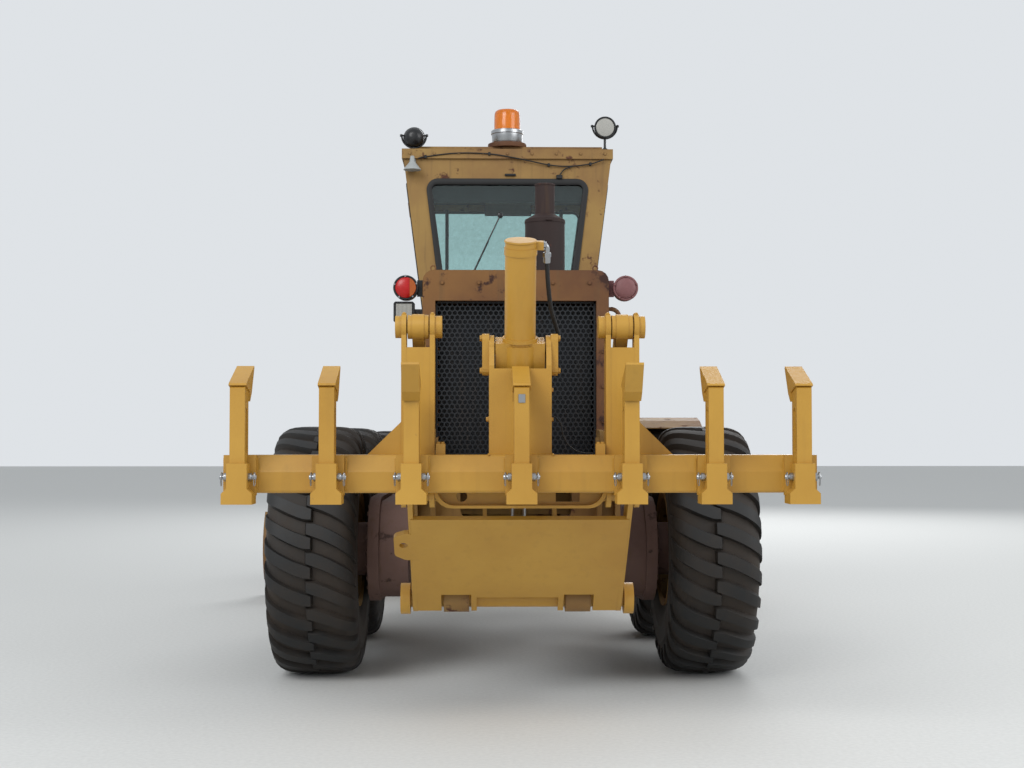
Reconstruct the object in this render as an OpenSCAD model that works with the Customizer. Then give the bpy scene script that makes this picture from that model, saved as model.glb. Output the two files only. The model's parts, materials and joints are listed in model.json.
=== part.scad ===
// Motor grader with an articulated frame, tandem rear drive, leaning front wheels and a rear ripper.
// +Y is forward, +X is the right-hand side, +Z is up. The origin lies on the ground under the middle
// of the overall length. Millimetres throughout.

/* [Running gear] */
// Outside diameter of every tyre, out to the lug tips
tyre_od = 1490; // [1400:10:1540]
// Section width of every tyre
tyre_w = 520; // [440:10:540]
// Number of lugs on each side of a tyre's tread
lug_count = 28; // [24:1:32]
// Bead seat diameter of the rims
rim_d = 635; // [600:5:660]
// Sideways distance from the centre plane to a wheel's middle
wheel_x = 1160; // [1140:5:1200]
// Distance between the two wheels of a tandem
tandem_base = 1656; // [1600:4:1720]
// Distance from the front axle to the middle of the tandems
wheel_base = 6474; // [6400:10:6700]
// Radius of the ends of a tandem chain case
case_r = 290; // [250:5:300]

/* [Ends of the machine] */
// From the rear wheels' axle back to the ripper's pockets
rear_reach = 2300; // [2290:2:2330]
// From the front axle to the front of the push block
front_reach = 850; // [840:5:1000]
// From the rear wheels' axle back to the bumper plate
bumper_reach = 1145; // [1120:5:1160]
// From the rear wheels' axle forward to the articulation pin
hitch_reach = 2350; // [2320:5:2380]

/* [Hood] */
// Width of the hood and the radiator guard
hood_w = 1010; // [960:5:1040]
// Height of the hood's top above the ground
hood_top = 2330; // [2280:5:2360]
// Thickness of the hood's panels
hood_wall = 30; // [20:1:40]

/* [Cab] */
// Length of the cab
cab_len = 1650; // [1600:5:1680]
// Half width of the cab at its floor
floor_half = 500; // [480:5:520]
// Half width of the cab under its roof
roof_half = 745; // [700:5:780]
// Height of the cab's floor plate's underside above the ground
floor_z = 1520; // [1500:5:1540]
// Height of the roof's underside above the ground
roof_z = 3420; // [3360:5:3460]
// Thickness of walls and doors
cab_wall = 45; // [35:1:55]
// Length of the door opening
door_len = 880; // [800:5:900]

/* [Blade] */
// Length of the moldboard
blade_len = 4270; // [3660:10:4270]
// Height of the moldboard with its cutting edge
blade_h = 690; // [610:5:700]
// Radius of the moldboard's curve
blade_curve = 420; // [400:5:480]
// Outside diameter of the circle
circle_d = 1680; // [1500:10:1700]
// How far the cutting edge is carried above the ground
blade_lift = 60; // [40:5:80]
// From the front axle back to the cutting edge
blade_base = 2866; // [2840:5:2900]
// Number of teeth in the circle
circle_teeth = 64; // [48:4:72]

/* [Ripper] */
// Length of a ripper link between its pins
link_len = 853; // [840:1:870]
// Angle of the raised links above level, in degrees
link_up = 41.4; // [40:0.2:42.4]
// Height difference between the lower and the upper link pins
link_gap = 805; // [790:5:820]
// Height of the lower links' pins on the machine
link_z = 587; // [570:1:600]
// Length of the ripper's beam
beam_len = 2700; // [2680:5:2740]
// Height of the ripper's beam
beam_h = 178; // [160:2:190]
// Thickness of a ripper shank
shank_t = 70; // [60:1:76]
// Outside diameter of the ripper's cylinder
ripper_cyl_d = 150; // [130:2:160]

/* [Hidden] */
$fn = 48;

fit = 0.5; // between a pin and its bore, and between fitted faces
run_gap = 6; // between faces that pass each other
yellow = "#c8962e";
dark = "#26282a";
rubber = "#1b1c1e";
steel = "#9a9c9e";

// Stations along the machine
tip_over = 138; // how far the turned ripper tips stand behind the pockets
overall_len = tip_over + rear_reach + tandem_base / 2 + wheel_base + front_reach;
pocket_y = -overall_len / 2 + tip_over;
nose_y = overall_len / 2;
rear_y = pocket_y + rear_reach;
mid_y = rear_y + tandem_base;
tandem_y = rear_y + tandem_base / 2;
front_y = tandem_y + wheel_base;
bumper_y = rear_y - bumper_reach;
hitch_y = rear_y + hitch_reach;
axle_z = tyre_od / 2;

// General shapes

// Extrudes a shape drawn in (Y, Z) from x0 to x1
module lengthwise(x0, x1) {
    translate([x0, 0, 0]) rotate([90, 0, 90]) linear_extrude(x1 - x0) children();
}

// Extrudes a shape drawn in (X, Z) from y0 to y1
module crosswise(y0, y1) {
    translate([0, y1, 0]) rotate([90, 0, 0]) linear_extrude(y1 - y0) children();
}

// Extrudes a shape drawn in (X, Y) from z0 to z1
module flatwise(z0, z1) {
    translate([0, 0, z0]) linear_extrude(z1 - z0) children();
}

// Draws its children on both sides of the centre plane
module both_sides() {
    children();
    mirror([1, 0, 0]) children();
}

// A box given by its lowest and highest corner
module block(low, high) {
    translate(low) cube(high - low);
}

// A round bar from point a to point b
module bar(a, b, r) {
    d = b - a;
    translate(a) rotate([0, acos(d[2] / norm(d)), atan2(d[1], d[0])]) cylinder(h = norm(d), r = r);
}

// A round bar along X
module cross_bar(x0, x1, y, z, r) {
    translate([x0, y, z]) rotate([0, 90, 0]) cylinder(h = x1 - x0, r = r);
}

// A round bar along Y
module long_bar(y0, y1, x, z, r) {
    translate([x, y0, z]) rotate([-90, 0, 0]) cylinder(h = y1 - y0, r = r);
}

function unit(v) = v / norm(v);
// Points of the arc that rounds corner b of the corner a, b, c
function fillet(a, b, c, r, n) =
    let (u = unit(a - b), v = unit(c - b), half = acos(u * v) / 2, centre = b + unit(u + v) * r / sin(half),
         p = b + u * r / tan(half) - centre, q = b + v * r / tan(half) - centre,
         from = atan2(p[1], p[0]), turn = atan2(q[1], q[0]) - from,
         short = turn > 180 ? turn - 360 : turn < -180 ? turn + 360 : turn)
    [for (i = [0 : n]) centre + r * [cos(from + short * i / n), sin(from + short * i / n)]];
// An outline with every corner rounded to radius r
function rounded(pts, r, n = 3) =
    let (k = len(pts))
    [for (i = [0 : k - 1]) each fillet(pts[(i + k - 1) % k], pts[i], pts[(i + 1) % k], r, n)];
// A rectangle with rounded corners
function round_rect(x0, x1, z0, z1, r) = rounded([[x0, z0], [x1, z0], [x1, z1], [x0, z1]], r);
// Turns a point of the (Y, Z) plane about a pin, nose up for a positive angle
function turned(p, pin, angle) =
    let (d = p - pin) pin + [d[0] * cos(angle) - d[1] * sin(angle), d[0] * sin(angle) + d[1] * cos(angle)];

// Wheels

bead_r = rim_d / 2;
casing_t = 42; // thickness of the tyre's casing
tyre_half = tyre_w / 2;
tread_half = tyre_half - 18;
rim_half = 215;
lug_h = 34;
// Half of the tyre's section, as [radius, sideways], from the bead to the middle of the tread
tyre_side = [[bead_r, rim_half - 12], [bead_r + 45, rim_half + 6], [bead_r + 120, tyre_half - 8],
    [bead_r + 190, tyre_half], [bead_r + 270, tyre_half - 6], [tyre_od / 2 - lug_h, tread_half - 30]];

// The same line inside the casing
tyre_inner = [[bead_r, rim_half - 60], [bead_r + 60, rim_half - 46], [bead_r + 130, tyre_half - 8 - casing_t],
    [bead_r + 270, tyre_half - 10 - casing_t], [tyre_od / 2 - lug_h - casing_t, tread_half - 60 - casing_t]];

// Half of the ring that the lugs are cut from, as [radius, sideways]: crown, shoulder, root in the casing
lug_line = [[tyre_od / 2, 0], [tyre_od / 2, tyre_half - 84], [tyre_od / 2 - 46, tyre_half - 14],
    [tyre_od / 2 - 150, tyre_half - 20], [tyre_od / 2 - 135, tyre_half - 35],
    [tyre_od / 2 - 55, tyre_half - 80], [tyre_od / 2 - 55, 0]];

// A lug of one half, in the plane that touches the tread; Y runs round the tyre and -X out to the shoulder
module lug_outline() {
    w = 0.24 * PI * tyre_od / lug_count; // half its width along the tread
    polygon([[14, -w], [14, w], [-110, 38 + w], [-tyre_half - 10, 165 + w], [-tyre_half - 10, 165 - w],
        [-110, 38 - w]]);
}

module tyre() {
    n = len(tyre_side);
    m = len(tyre_inner);
    k = len(lug_line);
    outline = concat(tyre_side, [for (i = [n - 1 : -1 : 0]) [tyre_side[i][0], -tyre_side[i][1]]],
        [for (p = tyre_inner) [p[0], -p[1]]], [for (i = [m - 1 : -1 : 0]) tyre_inner[i]]);
    color(rubber) rotate([0, 90, 0]) {
        rotate_extrude($fn = 96) polygon(outline);
        intersection() {
            rotate_extrude($fn = 96)
                polygon(concat(lug_line, [for (i = [k - 2 : -1 : 1]) [lug_line[i][0], -lug_line[i][1]]]));
            // the two halves are half a step apart and turned end for end
            for (i = [0 : lug_count - 1], s = [0, 1]) rotate((i + s / 2) * 360 / lug_count)
                rotate([180 * s, 0, 0]) translate([tyre_od / 2 - 170, 0, 0]) rotate([0, 90, 0])
                    linear_extrude(180) lug_outline();
        }
    }
}

hub_r = 150;
spindle_r = 60;
disc_x = -20; // the disc's place in the rim, positive outwards
// The rim: a barrel with flanges, a dished disc and a hub with a blind bore for the spindle
module rim() {
    barrel_r = bead_r - fit;
    color(yellow) rotate([0, 90, 0]) difference() {
        union() {
            rotate_extrude($fn = 96) polygon([
                [barrel_r, -rim_half + 12], [barrel_r, rim_half - 12], [barrel_r + 30, rim_half + 14],
                [barrel_r + 30, rim_half + 26], [barrel_r - 12, rim_half + 12], [barrel_r - 16, rim_half - 20],
                [barrel_r - 22, 70], [barrel_r - 60, disc_x + 60], [barrel_r - 140, disc_x + 24],
                [0, disc_x + 24], [0, disc_x], [barrel_r - 130, disc_x], [barrel_r - 46, disc_x + 34],
                [barrel_r - 22, 30], [barrel_r - 16, -rim_half + 20], [barrel_r - 12, -rim_half - 12],
                [barrel_r + 30, -rim_half - 26], [barrel_r + 30, -rim_half - 14]]);
            translate([0, 0, -160]) cylinder(h = disc_x + 160 + 90, r = hub_r);
        }
        translate([0, 0, -161]) cylinder(h = 161 + disc_x + 40, r = spindle_r + fit);
        for (a = [0 : 36 : 359]) rotate(a) translate([barrel_r - 85, 0, -100]) cylinder(h = 200, r = 18);
    }
}

// Rear frame

rail_in = 330;
rail_out = 400;
rail_low = axle_z + 215;
rail_high = axle_z + 495;
hitch_z = [axle_z + 85, axle_z + 505]; // middle heights of the two hinge lugs of the articulation
lug_t = 25;
tongue_t = 60;
hitch_r = 110;
hitch_pin_r = 45;
web_back = 330; // from the hitch pin back to the rear frame's end

link_y = rear_y - 1350;
link_high_z = link_z + link_gap;
tower_x = [[430, 455], [525, 550]];
link_pin_r = 32;
low_pin_r = 45;
low_lug_x = [250, 380];

module hitch_outline(back) {
    polygon([[-260, hitch_y - back], [260, hitch_y - back], [hitch_r, hitch_y], [-hitch_r, hitch_y]]);
    translate([0, hitch_y]) circle(r = hitch_r);
}

// Plate with an ear round the upper link pin, on the back of the bumper
module tower_plate() {
    polygon([[bumper_y, rail_low - 60], [bumper_y, link_high_z + 75], [link_y - 20, link_high_z + 68],
        [link_y - 60, link_high_z - 30], [link_y - 10, link_high_z - 90]]);
    translate([link_y, link_high_z]) circle(r = 70);
}

module fender() {
    r = axle_z + 78;
    inner = r - 8;
    width = [wheel_x - tyre_half - 40, wheel_x + 200];
    translate([0, mid_y, axle_z]) lengthwise(width[0], width[1])
        polygon(concat([for (a = [35 : 10 : 115]) r * [cos(a), sin(a)]],
            [for (a = [115 : -10 : 35]) inner * [cos(a), sin(a)]]));
    // the outer edge is folded down
    translate([0, mid_y, axle_z]) lengthwise(width[1] - 1, width[1] + 8)
        polygon(concat([for (a = [35 : 10 : 115]) r * [cos(a), sin(a)]],
            [for (a = [115 : -10 : 35]) (inner - 40) * [cos(a), sin(a)]]));
    // bracket from the frame rail, up beside the tyre
    y = [mid_y + 60, mid_y + 120];
    block([rail_out - 2, y[0], rail_high - 100], [rail_out + 40, y[1], axle_z + inner - 100]);
    block([rail_out - 2, y[0], axle_z + inner - 130], [width[0] + 30, y[1], axle_z + inner - 100]);
    block([width[0] + 4, y[0], axle_z + inner - 130], [width[0] + 30, y[1], axle_z + inner - 2]);
}

module rear_frame() {
    color(yellow) {
        both_sides() lengthwise(rail_in, rail_out)
            polygon([[bumper_y, rail_low], [hitch_y - web_back, rail_low], [hitch_y - web_back, rail_high],
                [bumper_y, rail_high]]);
        // bumper plate across the tail, open in the middle for the air to the radiator
        difference() {
            crosswise(bumper_y - 1, bumper_y + 40)
                polygon(round_rect(-tower_x[1][1] - 10, tower_x[1][1] + 10, link_z - 27, rail_high + 60, 40));
            crosswise(bumper_y - 10, bumper_y + 50) polygon(round_rect(-300, 300, rail_low + 20,
                rail_high - 40, 60));
        }
        both_sides() {
            for (p = tower_x) lengthwise(p[0], p[1]) tower_plate();
            cross_bar(tower_x[0][0] - 18, tower_x[1][1] + 18, link_y, link_high_z, link_pin_r);
            difference() {
                lengthwise(low_lug_x[0], low_lug_x[1]) {
                    polygon([[bumper_y, link_z - 22], [bumper_y, link_z + 273], [link_y + 10, link_z + 66],
                        [link_y, link_z - 66]]);
                    translate([link_y, link_z]) circle(r = 70);
                }
                cross_bar(low_lug_x[0] - 1, low_lug_x[1] + 1, link_y, link_z, low_pin_r + fit);
            }
        }
        // cross member and hinge lugs at the articulation
        block([-rail_out, hitch_y - web_back - 60, hitch_z[0] - 60],
            [rail_out, hitch_y - web_back, hitch_z[1] + 60]);
        for (z = hitch_z) for (s = [-1, 1]) {
            low = s < 0 ? z - tongue_t / 2 - run_gap - lug_t : z + tongue_t / 2 + run_gap;
            flatwise(low, low + lug_t) hitch_outline(web_back);
        }
        for (z = hitch_z) translate([0, hitch_y, z - 75]) cylinder(h = 150, r = hitch_pin_r);
        // cross members under the engine
        for (y = [rear_y - 500, tandem_y + 700])
            block([-rail_in - 2, y, rail_low + 20], [rail_in + 2, y + 120, rail_low + 140]);
        fender();
    }
}

// Drive line

axle_tube_r = 200;
case_x = [620, 860];

module drive_axle() {
    color(yellow) {
        cross_bar(-case_x[0] + fit, case_x[0] - fit, tandem_y, axle_z, axle_tube_r);
        // bevel gear housing and the transmission in front of it
        difference() {
            lengthwise(-260, 260) polygon(rounded([[tandem_y - 330, axle_z - 240],
                [tandem_y + 330, axle_z - 250],
                [tandem_y + 900, axle_z - 190], [tandem_y + 900, axle_z + 210],
                    [tandem_y - 250, axle_z + 210]], 60));
            for (y = [tandem_y + 500, tandem_y + 640, tandem_y + 780])
                block([-270, y, axle_z - 260], [270, y + 30, axle_z - 205]);
        }
        // seats under the rails
        both_sides() block([rail_in, tandem_y - 180, axle_z + 100],
            [rail_out, tandem_y + 180, rail_low - fit]);
    }
}

// Side view of a chain case, grown by a margin
module case_side(margin) {
    r = case_r + margin;
    for (y = [rear_y, mid_y]) translate([y, axle_z]) circle(r = r);
    polygon([[rear_y, axle_z - r], [tandem_y - 240, axle_z - r - 30], [tandem_y + 240, axle_z - r - 30],
        [mid_y, axle_z - r], [mid_y, axle_z + r], [rear_y, axle_z + r]]);
}

module tandem_cases() {
    cover = case_x[1] - 36;
    color("#6b3f2e") both_sides() {
        // the case, open to the outside, with a flange round its mouth
        difference() {
            union() {
                lengthwise(case_x[0], cover) case_side(0);
                lengthwise(cover - 30, cover) case_side(24);
            }
            lengthwise(case_x[0] + 28, cover + 1) case_side(-22);
        }
        // its cover with the wheels' bearing housings and spindles
        lengthwise(cover + 0.3, case_x[1]) case_side(24);
        for (y = [rear_y, mid_y]) {
            cross_bar(case_x[1] - 5, wheel_x - 160 - run_gap, y, axle_z, hub_r + 10);
            cross_bar(case_x[1] - 5, wheel_x + disc_x + 38, y, axle_z, spindle_r);
        }
    }
}

// Hood

guard_y = rear_y - 1100;
guard_t = 110;
hood_front_y = cab_rear_y() - 215;
grille_half = 437;
grille_z = [1120, 2165];
hood_r = 60;
function cab_rear_y() = rear_y + 1500;

// The hood's cross section, drawn in (X, Z) and shrunk by an inset
module hood_outline(inset, low) {
    polygon(concat([[-hood_w / 2 + inset, low]],
        fillet([-hood_w / 2 + inset, low], [-hood_w / 2 + inset, hood_top - inset],
            [0, hood_top - inset + 14], hood_r, 4),
        fillet([0, hood_top - inset + 14], [hood_w / 2 - inset, hood_top - inset], [hood_w / 2 - inset, low],
            hood_r, 4), [[hood_w / 2 - inset, low]]));
}

muffler_x = 213;
muffler_y = rear_y + 200;
muffler_r = 125;
stack_r = 62;

module hood() {
    // grab handle on the guard's right side
    color(yellow) {
        for (z = [1840, 2125]) cross_bar(hood_w / 2 - 4, hood_w / 2 + 17, guard_y + 60, z, 11);
        translate([hood_w / 2 + 61, guard_y + 60, 1884]) cylinder(h = 197, r = 11);
        for (s = [0, 1]) translate([hood_w / 2 + 16, guard_y + 60, s ? 2080 : 1885]) intersection() {
            rotate([90, 0, 0]) rotate_extrude() translate([45, 0]) circle(r = 12);
            translate([0, -20, s ? 0 : -60]) cube([60, 40, 60]);
        }
    }
    color(yellow) difference() {
        union() {
            crosswise(guard_y + guard_t, hood_front_y) hood_outline(8, rail_high + fit);
            crosswise(guard_y, guard_y + guard_t) hood_outline(0, rail_high + fit);
        }
        // the engine room
        crosswise(guard_y + guard_t, hood_front_y - hood_wall) hood_outline(8 + hood_wall, rail_high - 10);
        // the grille's opening in the guard
        crosswise(guard_y - 1, guard_y + guard_t + 1)
            polygon([[-grille_half, rail_high - 10], [grille_half, rail_high - 10],
                [grille_half, grille_z[1]], [-grille_half, grille_z[1]]]);
        // louvres of the service doors
        for (z = [1420 : 80 : 2060]) block([-hood_w, guard_y + 1180, z], [hood_w, guard_y + 1920, z + 30]);
        // holes for the exhaust in the top
        translate([muffler_x, muffler_y, hood_top - 100]) cylinder(h = 200, r = stack_r + 12);
    }
}

// The radiator's grille, a plate with rows of six-sided holes
hole_pitch = 74;
module rear_grille() {
    rows = floor((grille_z[1] - rail_high - 40) / (hole_pitch * 0.866)) - 1;
    cols = floor((2 * grille_half - 60) / hole_pitch) - 1;
    color(dark) crosswise(guard_y + 40, guard_y + 48) difference() {
        polygon([[-grille_half + fit, rail_high + fit], [grille_half - fit, rail_high + fit],
            [grille_half - fit, grille_z[1] - fit], [-grille_half + fit, grille_z[1] - fit]]);
        for (i = [0 : rows]) for (j = [0 : cols - (i % 2)])
            translate([(j - (cols - (i % 2)) / 2) * hole_pitch, rail_high + 60 + i * hole_pitch * 0.866])
                circle(r = hole_pitch * 0.46, $fn = 6);
    }
}

module engine() {
    color(dark) {
        // radiator behind the grille, standing on the rails
        block([-grille_half + 20, guard_y + guard_t + 30, rail_high + fit],
            [grille_half - 20, guard_y + guard_t + 180, grille_z[1] - 20]);
        // engine block
        block([-300, guard_y + 560, rail_low + 140 + fit], [300, hood_front_y - 160, 1960]);
        // exhaust elbow up to the muffler
        translate([muffler_x, muffler_y, 1955]) cylinder(h = hood_top - 1955 + 2, r = stack_r - 8);
    }
}

module exhaust() {
    color("#5a2f28") translate([muffler_x, muffler_y, hood_top + 2 + fit]) {
        cylinder(h = 40, r = stack_r);
        translate([0, 0, 30]) cylinder(h = 60, r1 = stack_r, r2 = muffler_r);
        translate([0, 0, 90]) cylinder(h = 370, r = muffler_r);
        translate([0, 0, 460]) cylinder(h = 36, r1 = muffler_r, r2 = stack_r);
        difference() {
            translate([0, 0, 490]) cylinder(h = 195, r = stack_r);
            translate([0, 0, 540]) cylinder(h = 200, r = stack_r - 6);
        }
    }
}

// Round tail lamps on brackets at the guard's sides and a square work lamp under the left one
module rear_lamps() {
    lamp_y = guard_y + 30;
    color("#a02020") both_sides() {
        block([hood_w / 2 + fit, lamp_y + 20, 2190], [hood_w / 2 + 40, lamp_y + 40, 2280]);
        difference() {
            long_bar(lamp_y - 25, lamp_y + 75, hood_w / 2 + 92, 2235, 68);
            long_bar(lamp_y - 30, lamp_y - 15, hood_w / 2 + 92, 2235, 58);
        }
    }
    color(dark) {
        block([-hood_w / 2 - 158, lamp_y - 30, 2045], [-hood_w / 2 - 44, lamp_y + 40, 2160]);
        block([-hood_w / 2 - 46, lamp_y, 2080], [-hood_w / 2 - fit, lamp_y + 24, 2120]);
    }
}

// Ripper

cosine_up = cos(link_up);
mast_y = link_y - link_len * cosine_up;
pin_low_z = link_z + link_len * sin(link_up);
pin_high_z = pin_low_z + link_gap;
link_half = 540;
eye_r = 66;
beam_front = mast_y - 30;
beam_back = pocket_y + 130;
beam_z = pin_low_z + 14;
plate_x = [410, 570]; // outer faces of a mast's two side plates
plate_t = 24;
post_half = 150;
pivot_z = 1860;
pivot_y = mast_y + 50;
rod_share = 0.55; // where along the lower link the rod is pinned
rod_rise = 95; // height of that pin over the link's line
rod_pin = turned([link_y - rod_share * link_len, link_z + rod_rise], [link_y, link_z], -link_up);
shank_mid_x = 510; // the pair behind the masts
shank_x = [for (s = [-1, 1]) each [s * (beam_len / 2 - 41), s * beam_len / 3, s * shank_mid_x], 0];

// Swings a link, drawn level, up about the machine's pins
module swing_link(z) {
    translate([0, link_y, z]) rotate([-link_up, 0, 0]) translate([0, -link_y, -z]) children();
}

module ripper_lower_link() {
    far = link_y - link_len;
    color(yellow) swing_link(link_z) {
        difference() {
            union() {
                // side plates with eyes
                both_sides() lengthwise(link_half - 24, link_half) {
                    polygon([[far, link_z - 60], [link_y, link_z - eye_r], [link_y, link_z + eye_r],
                        [far, link_z + 60]]);
                    translate([far, link_z]) circle(r = 60);
                    translate([link_y, link_z]) circle(r = eye_r);
                }
                // underside plate, cut round the machine's lugs and open between them
                difference() {
                    block([-link_half + 10, far + 115, link_z - 64],
                        [link_half - 10, link_y + 20, link_z - 40]);
                    both_sides() block([low_lug_x[0] - 12, link_y - 120, link_z - 80],
                        [low_lug_x[1] + 12, link_y + 60, link_z]);
                    block([-low_lug_x[0] + 40, link_y - 96, link_z - 80],
                        [low_lug_x[0] - 40, link_y + 60, link_z]);
                }
                // eye on the left edge, for tying the ripper up
                flatwise(link_z - 64, link_z - 40) difference() {
                    polygon(rounded([[-link_half - 76, far + 250], [-link_half + 20, far + 205],
                        [-link_half + 20, far + 465], [-link_half - 76, far + 400]], 30));
                    translate([-link_half - 30, far + 318]) circle(r = 20);
                }
                // lengthways ribs and the lug for the rod
                both_sides() block([post_half + 10, far + 130, link_z - 42],
                    [post_half + 30, link_y - 110, link_z + 30]);
                both_sides() lengthwise(rod_eye_half + 0.4, rod_eye_half + 30) {
                    polygon([[rod_y_level() - 110, link_z - 42], [rod_y_level() + 110, link_z - 42],
                        [rod_y_level() + 40, link_z + rod_rise], [rod_y_level() - 40, link_z + rod_rise]]);
                    translate([rod_y_level(), link_z + rod_rise]) circle(r = 44);
                }
                // heads of the rod's pin
                both_sides() cross_bar(rod_eye_half + 20, rod_eye_half + 42, rod_y_level(),
                    link_z + rod_rise, 25);
            }
            cross_bar(-link_half - 1, link_half + 1, far, link_z, link_pin_r + fit);
        }
        cross_bar(-link_half - 64, link_half + 64, link_y, link_z, low_pin_r);
        // keeper plates on the pin's ends
        both_sides() cross_bar(link_half + 14, link_half + 64, link_y, link_z, 80);
    }
}
function rod_y_level() = link_y - rod_share * link_len;
rod_eye_half = 42;

module ripper_upper_links() {
    far = link_y - link_len;
    mid = [tower_x[0][1] + run_gap, tower_x[1][0] - run_gap];
    color(yellow) both_sides() swing_link(link_high_z) difference() {
        union() {
            lengthwise(mid[0], mid[1]) {
                polygon([for (p = [[far, -52], [link_y, -52], [link_y, 52], [far, 52]]) [p[0],
                    link_high_z + p[1]]]);
                for (y = [far, link_y]) translate([y, link_high_z]) circle(r = 62);
            }
            // wide boss between the mast's plates
            cross_bar(plate_x[0] + plate_t + run_gap, plate_x[1] - plate_t - run_gap, far, link_high_z, 58);
        }
        for (y = [far, link_y])
            cross_bar(plate_x[0], plate_x[1], y, link_high_z, link_pin_r + fit);
    }
}

// Side plate of a mast, from the beam to the ear of the upper pin
module mast_plate() {
    polygon([[beam_front, beam_z], [mast_y + 45, beam_z - 60], [mast_y + 60, beam_z + 60],
        [mast_y + 50, pin_high_z], [mast_y - 50, pin_high_z], [beam_front - 20, beam_z + beam_h + 60],
        [beam_front - 20, beam_z + 5]]);
    translate([mast_y, pin_high_z]) circle(r = 64);
    translate([mast_y, pin_low_z]) circle(r = 62);
}

// A shank's pocket, clamped to the back of the beam
module pocket() {
    w = shank_t / 2 + 12;
    low = beam_z - 48;
    high = beam_z + beam_h - 38;
    difference() {
        union() {
            crosswise(pocket_y, beam_back + 1) polygon([[-w, high], [w, high], [w, low + 72],
                [w + 24, low + 50], [w + 24, low], [-w - 24, low], [-w - 24, low + 50], [-w, low + 72]]);
            block([-w - 28, beam_back - 34, beam_z - 10], [w + 28, beam_back + 2, beam_z + beam_h]);
        }
        block([-shank_t / 2 - 0.3, pocket_y + 16, low - 1], [shank_t / 2 + 0.3, beam_back - 8,
            beam_z + beam_h + 1]);
    }
}

// The web's outline, shrunk by an inset: straight below, turned up in arcs at both ends
module web_outline(inset) {
    x = plate_x[0] + 2 - inset;
    polygon(concat([[x, beam_z + 8], [-x, beam_z + 8]],
        fillet([-x, beam_z + 8], [-x, beam_z - 78 + inset], [0, beam_z - 78 + inset], 84, 5),
        fillet([0, beam_z - 78 + inset], [x, beam_z - 78 + inset], [x, beam_z + 8], 84, 5)));
}

module ripper_carriage() {
    color(yellow) {
        difference() {
            union() {
                difference() {
                    lengthwise(-beam_len / 2, beam_len / 2) polygon(rounded([[beam_back, beam_z],
                        [beam_front, beam_z],
                        [beam_front, beam_z + beam_h], [beam_back + 46, beam_z + beam_h],
                            [beam_back, beam_z + beam_h - 78]], 14));
                    both_sides() cross_bar(plate_x[0] + plate_t, plate_x[1] - plate_t, mast_y, pin_low_z, 68);
                }
                both_sides() {
                    lengthwise(plate_x[0], plate_x[0] + plate_t) mast_plate();
                    lengthwise(plate_x[1] - plate_t, plate_x[1]) mast_plate();
                    // closing plate at the mast's back
                    block([plate_x[0] + 2, mast_y - 49, beam_z + beam_h - 4],
                        [plate_x[1] - 2, mast_y - 34, pin_high_z - 100]);
                    // gusset from the mast to the beam
                    crosswise(beam_front - 18, beam_front) polygon([[plate_x[1] - 4, beam_z + beam_h - 20],
                        [plate_x[1] + 180, beam_z + beam_h - 20], [plate_x[1] - 4, beam_z + beam_h + 160]]);
                    // post plates round the cylinder's trunnion
                    lengthwise(post_half - 25, post_half) {
                        polygon([[beam_front - 10, beam_z + 20], [pivot_y + 70, beam_z + 20],
                            [pivot_y + 60, pivot_z], [pivot_y - 60, pivot_z],
                                [beam_front - 10, pivot_z - 90]]);
                        translate([pivot_y, pivot_z]) circle(r = 60);
                    }
                    // bearing caps bolted outside them
                    lengthwise(post_half - 1, post_half + 33)
                        polygon(round_rect(pivot_y - 52, pivot_y + 52, pivot_z - 135, pivot_z + 66, 30));
                }
                block([-post_half + 2, beam_front - 10, beam_z + beam_h - 4],
                    [post_half - 2, beam_front + 8, pivot_z - 105]);
                // bolted blocks beside the masts
                both_sides() block([plate_x[0] - 52, beam_front - 60, beam_z + beam_h - 4],
                    [plate_x[0] - 8, beam_front - 10, beam_z + beam_h + 52]);
                // web under the beam, with a hole and a slot, and the lip that curves round its lower edge
                difference() {
                    crosswise(mast_y - 22, mast_y - 6) web_outline(0);
                    long_bar(mast_y - 50, mast_y + 50, -280, beam_z - 22, 26);
                    block([170, mast_y - 50, beam_z - 48], [285, mast_y + 50, beam_z - 4]);
                }
                crosswise(beam_front - 34, mast_y - 6) difference() {
                    web_outline(0);
                    web_outline(14);
                    polygon([[-500, beam_z - 4], [500, beam_z - 4], [500, beam_z + 100], [-500, beam_z + 100]]);
                }
            }
            both_sides() cross_bar(post_half - 30, post_half + 30, pivot_y, pivot_z, 30 + fit);
        }
        both_sides() {
            // pins
            for (z = [pin_low_z, pin_high_z])
                cross_bar(plate_x[0] - 16, plate_x[1] + 16, mast_y, z, link_pin_r);
            // round caps on the upper pins and on the trunnion's ears
            cross_bar(plate_x[0] - 34, plate_x[0] + 1, mast_y, pin_high_z, 54);
            cross_bar(plate_x[1] - 1, plate_x[1] + 30, mast_y, pin_high_z, 54);
        }
        for (x = shank_x) translate([x, 0, 0]) pocket();
    }
}

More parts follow.
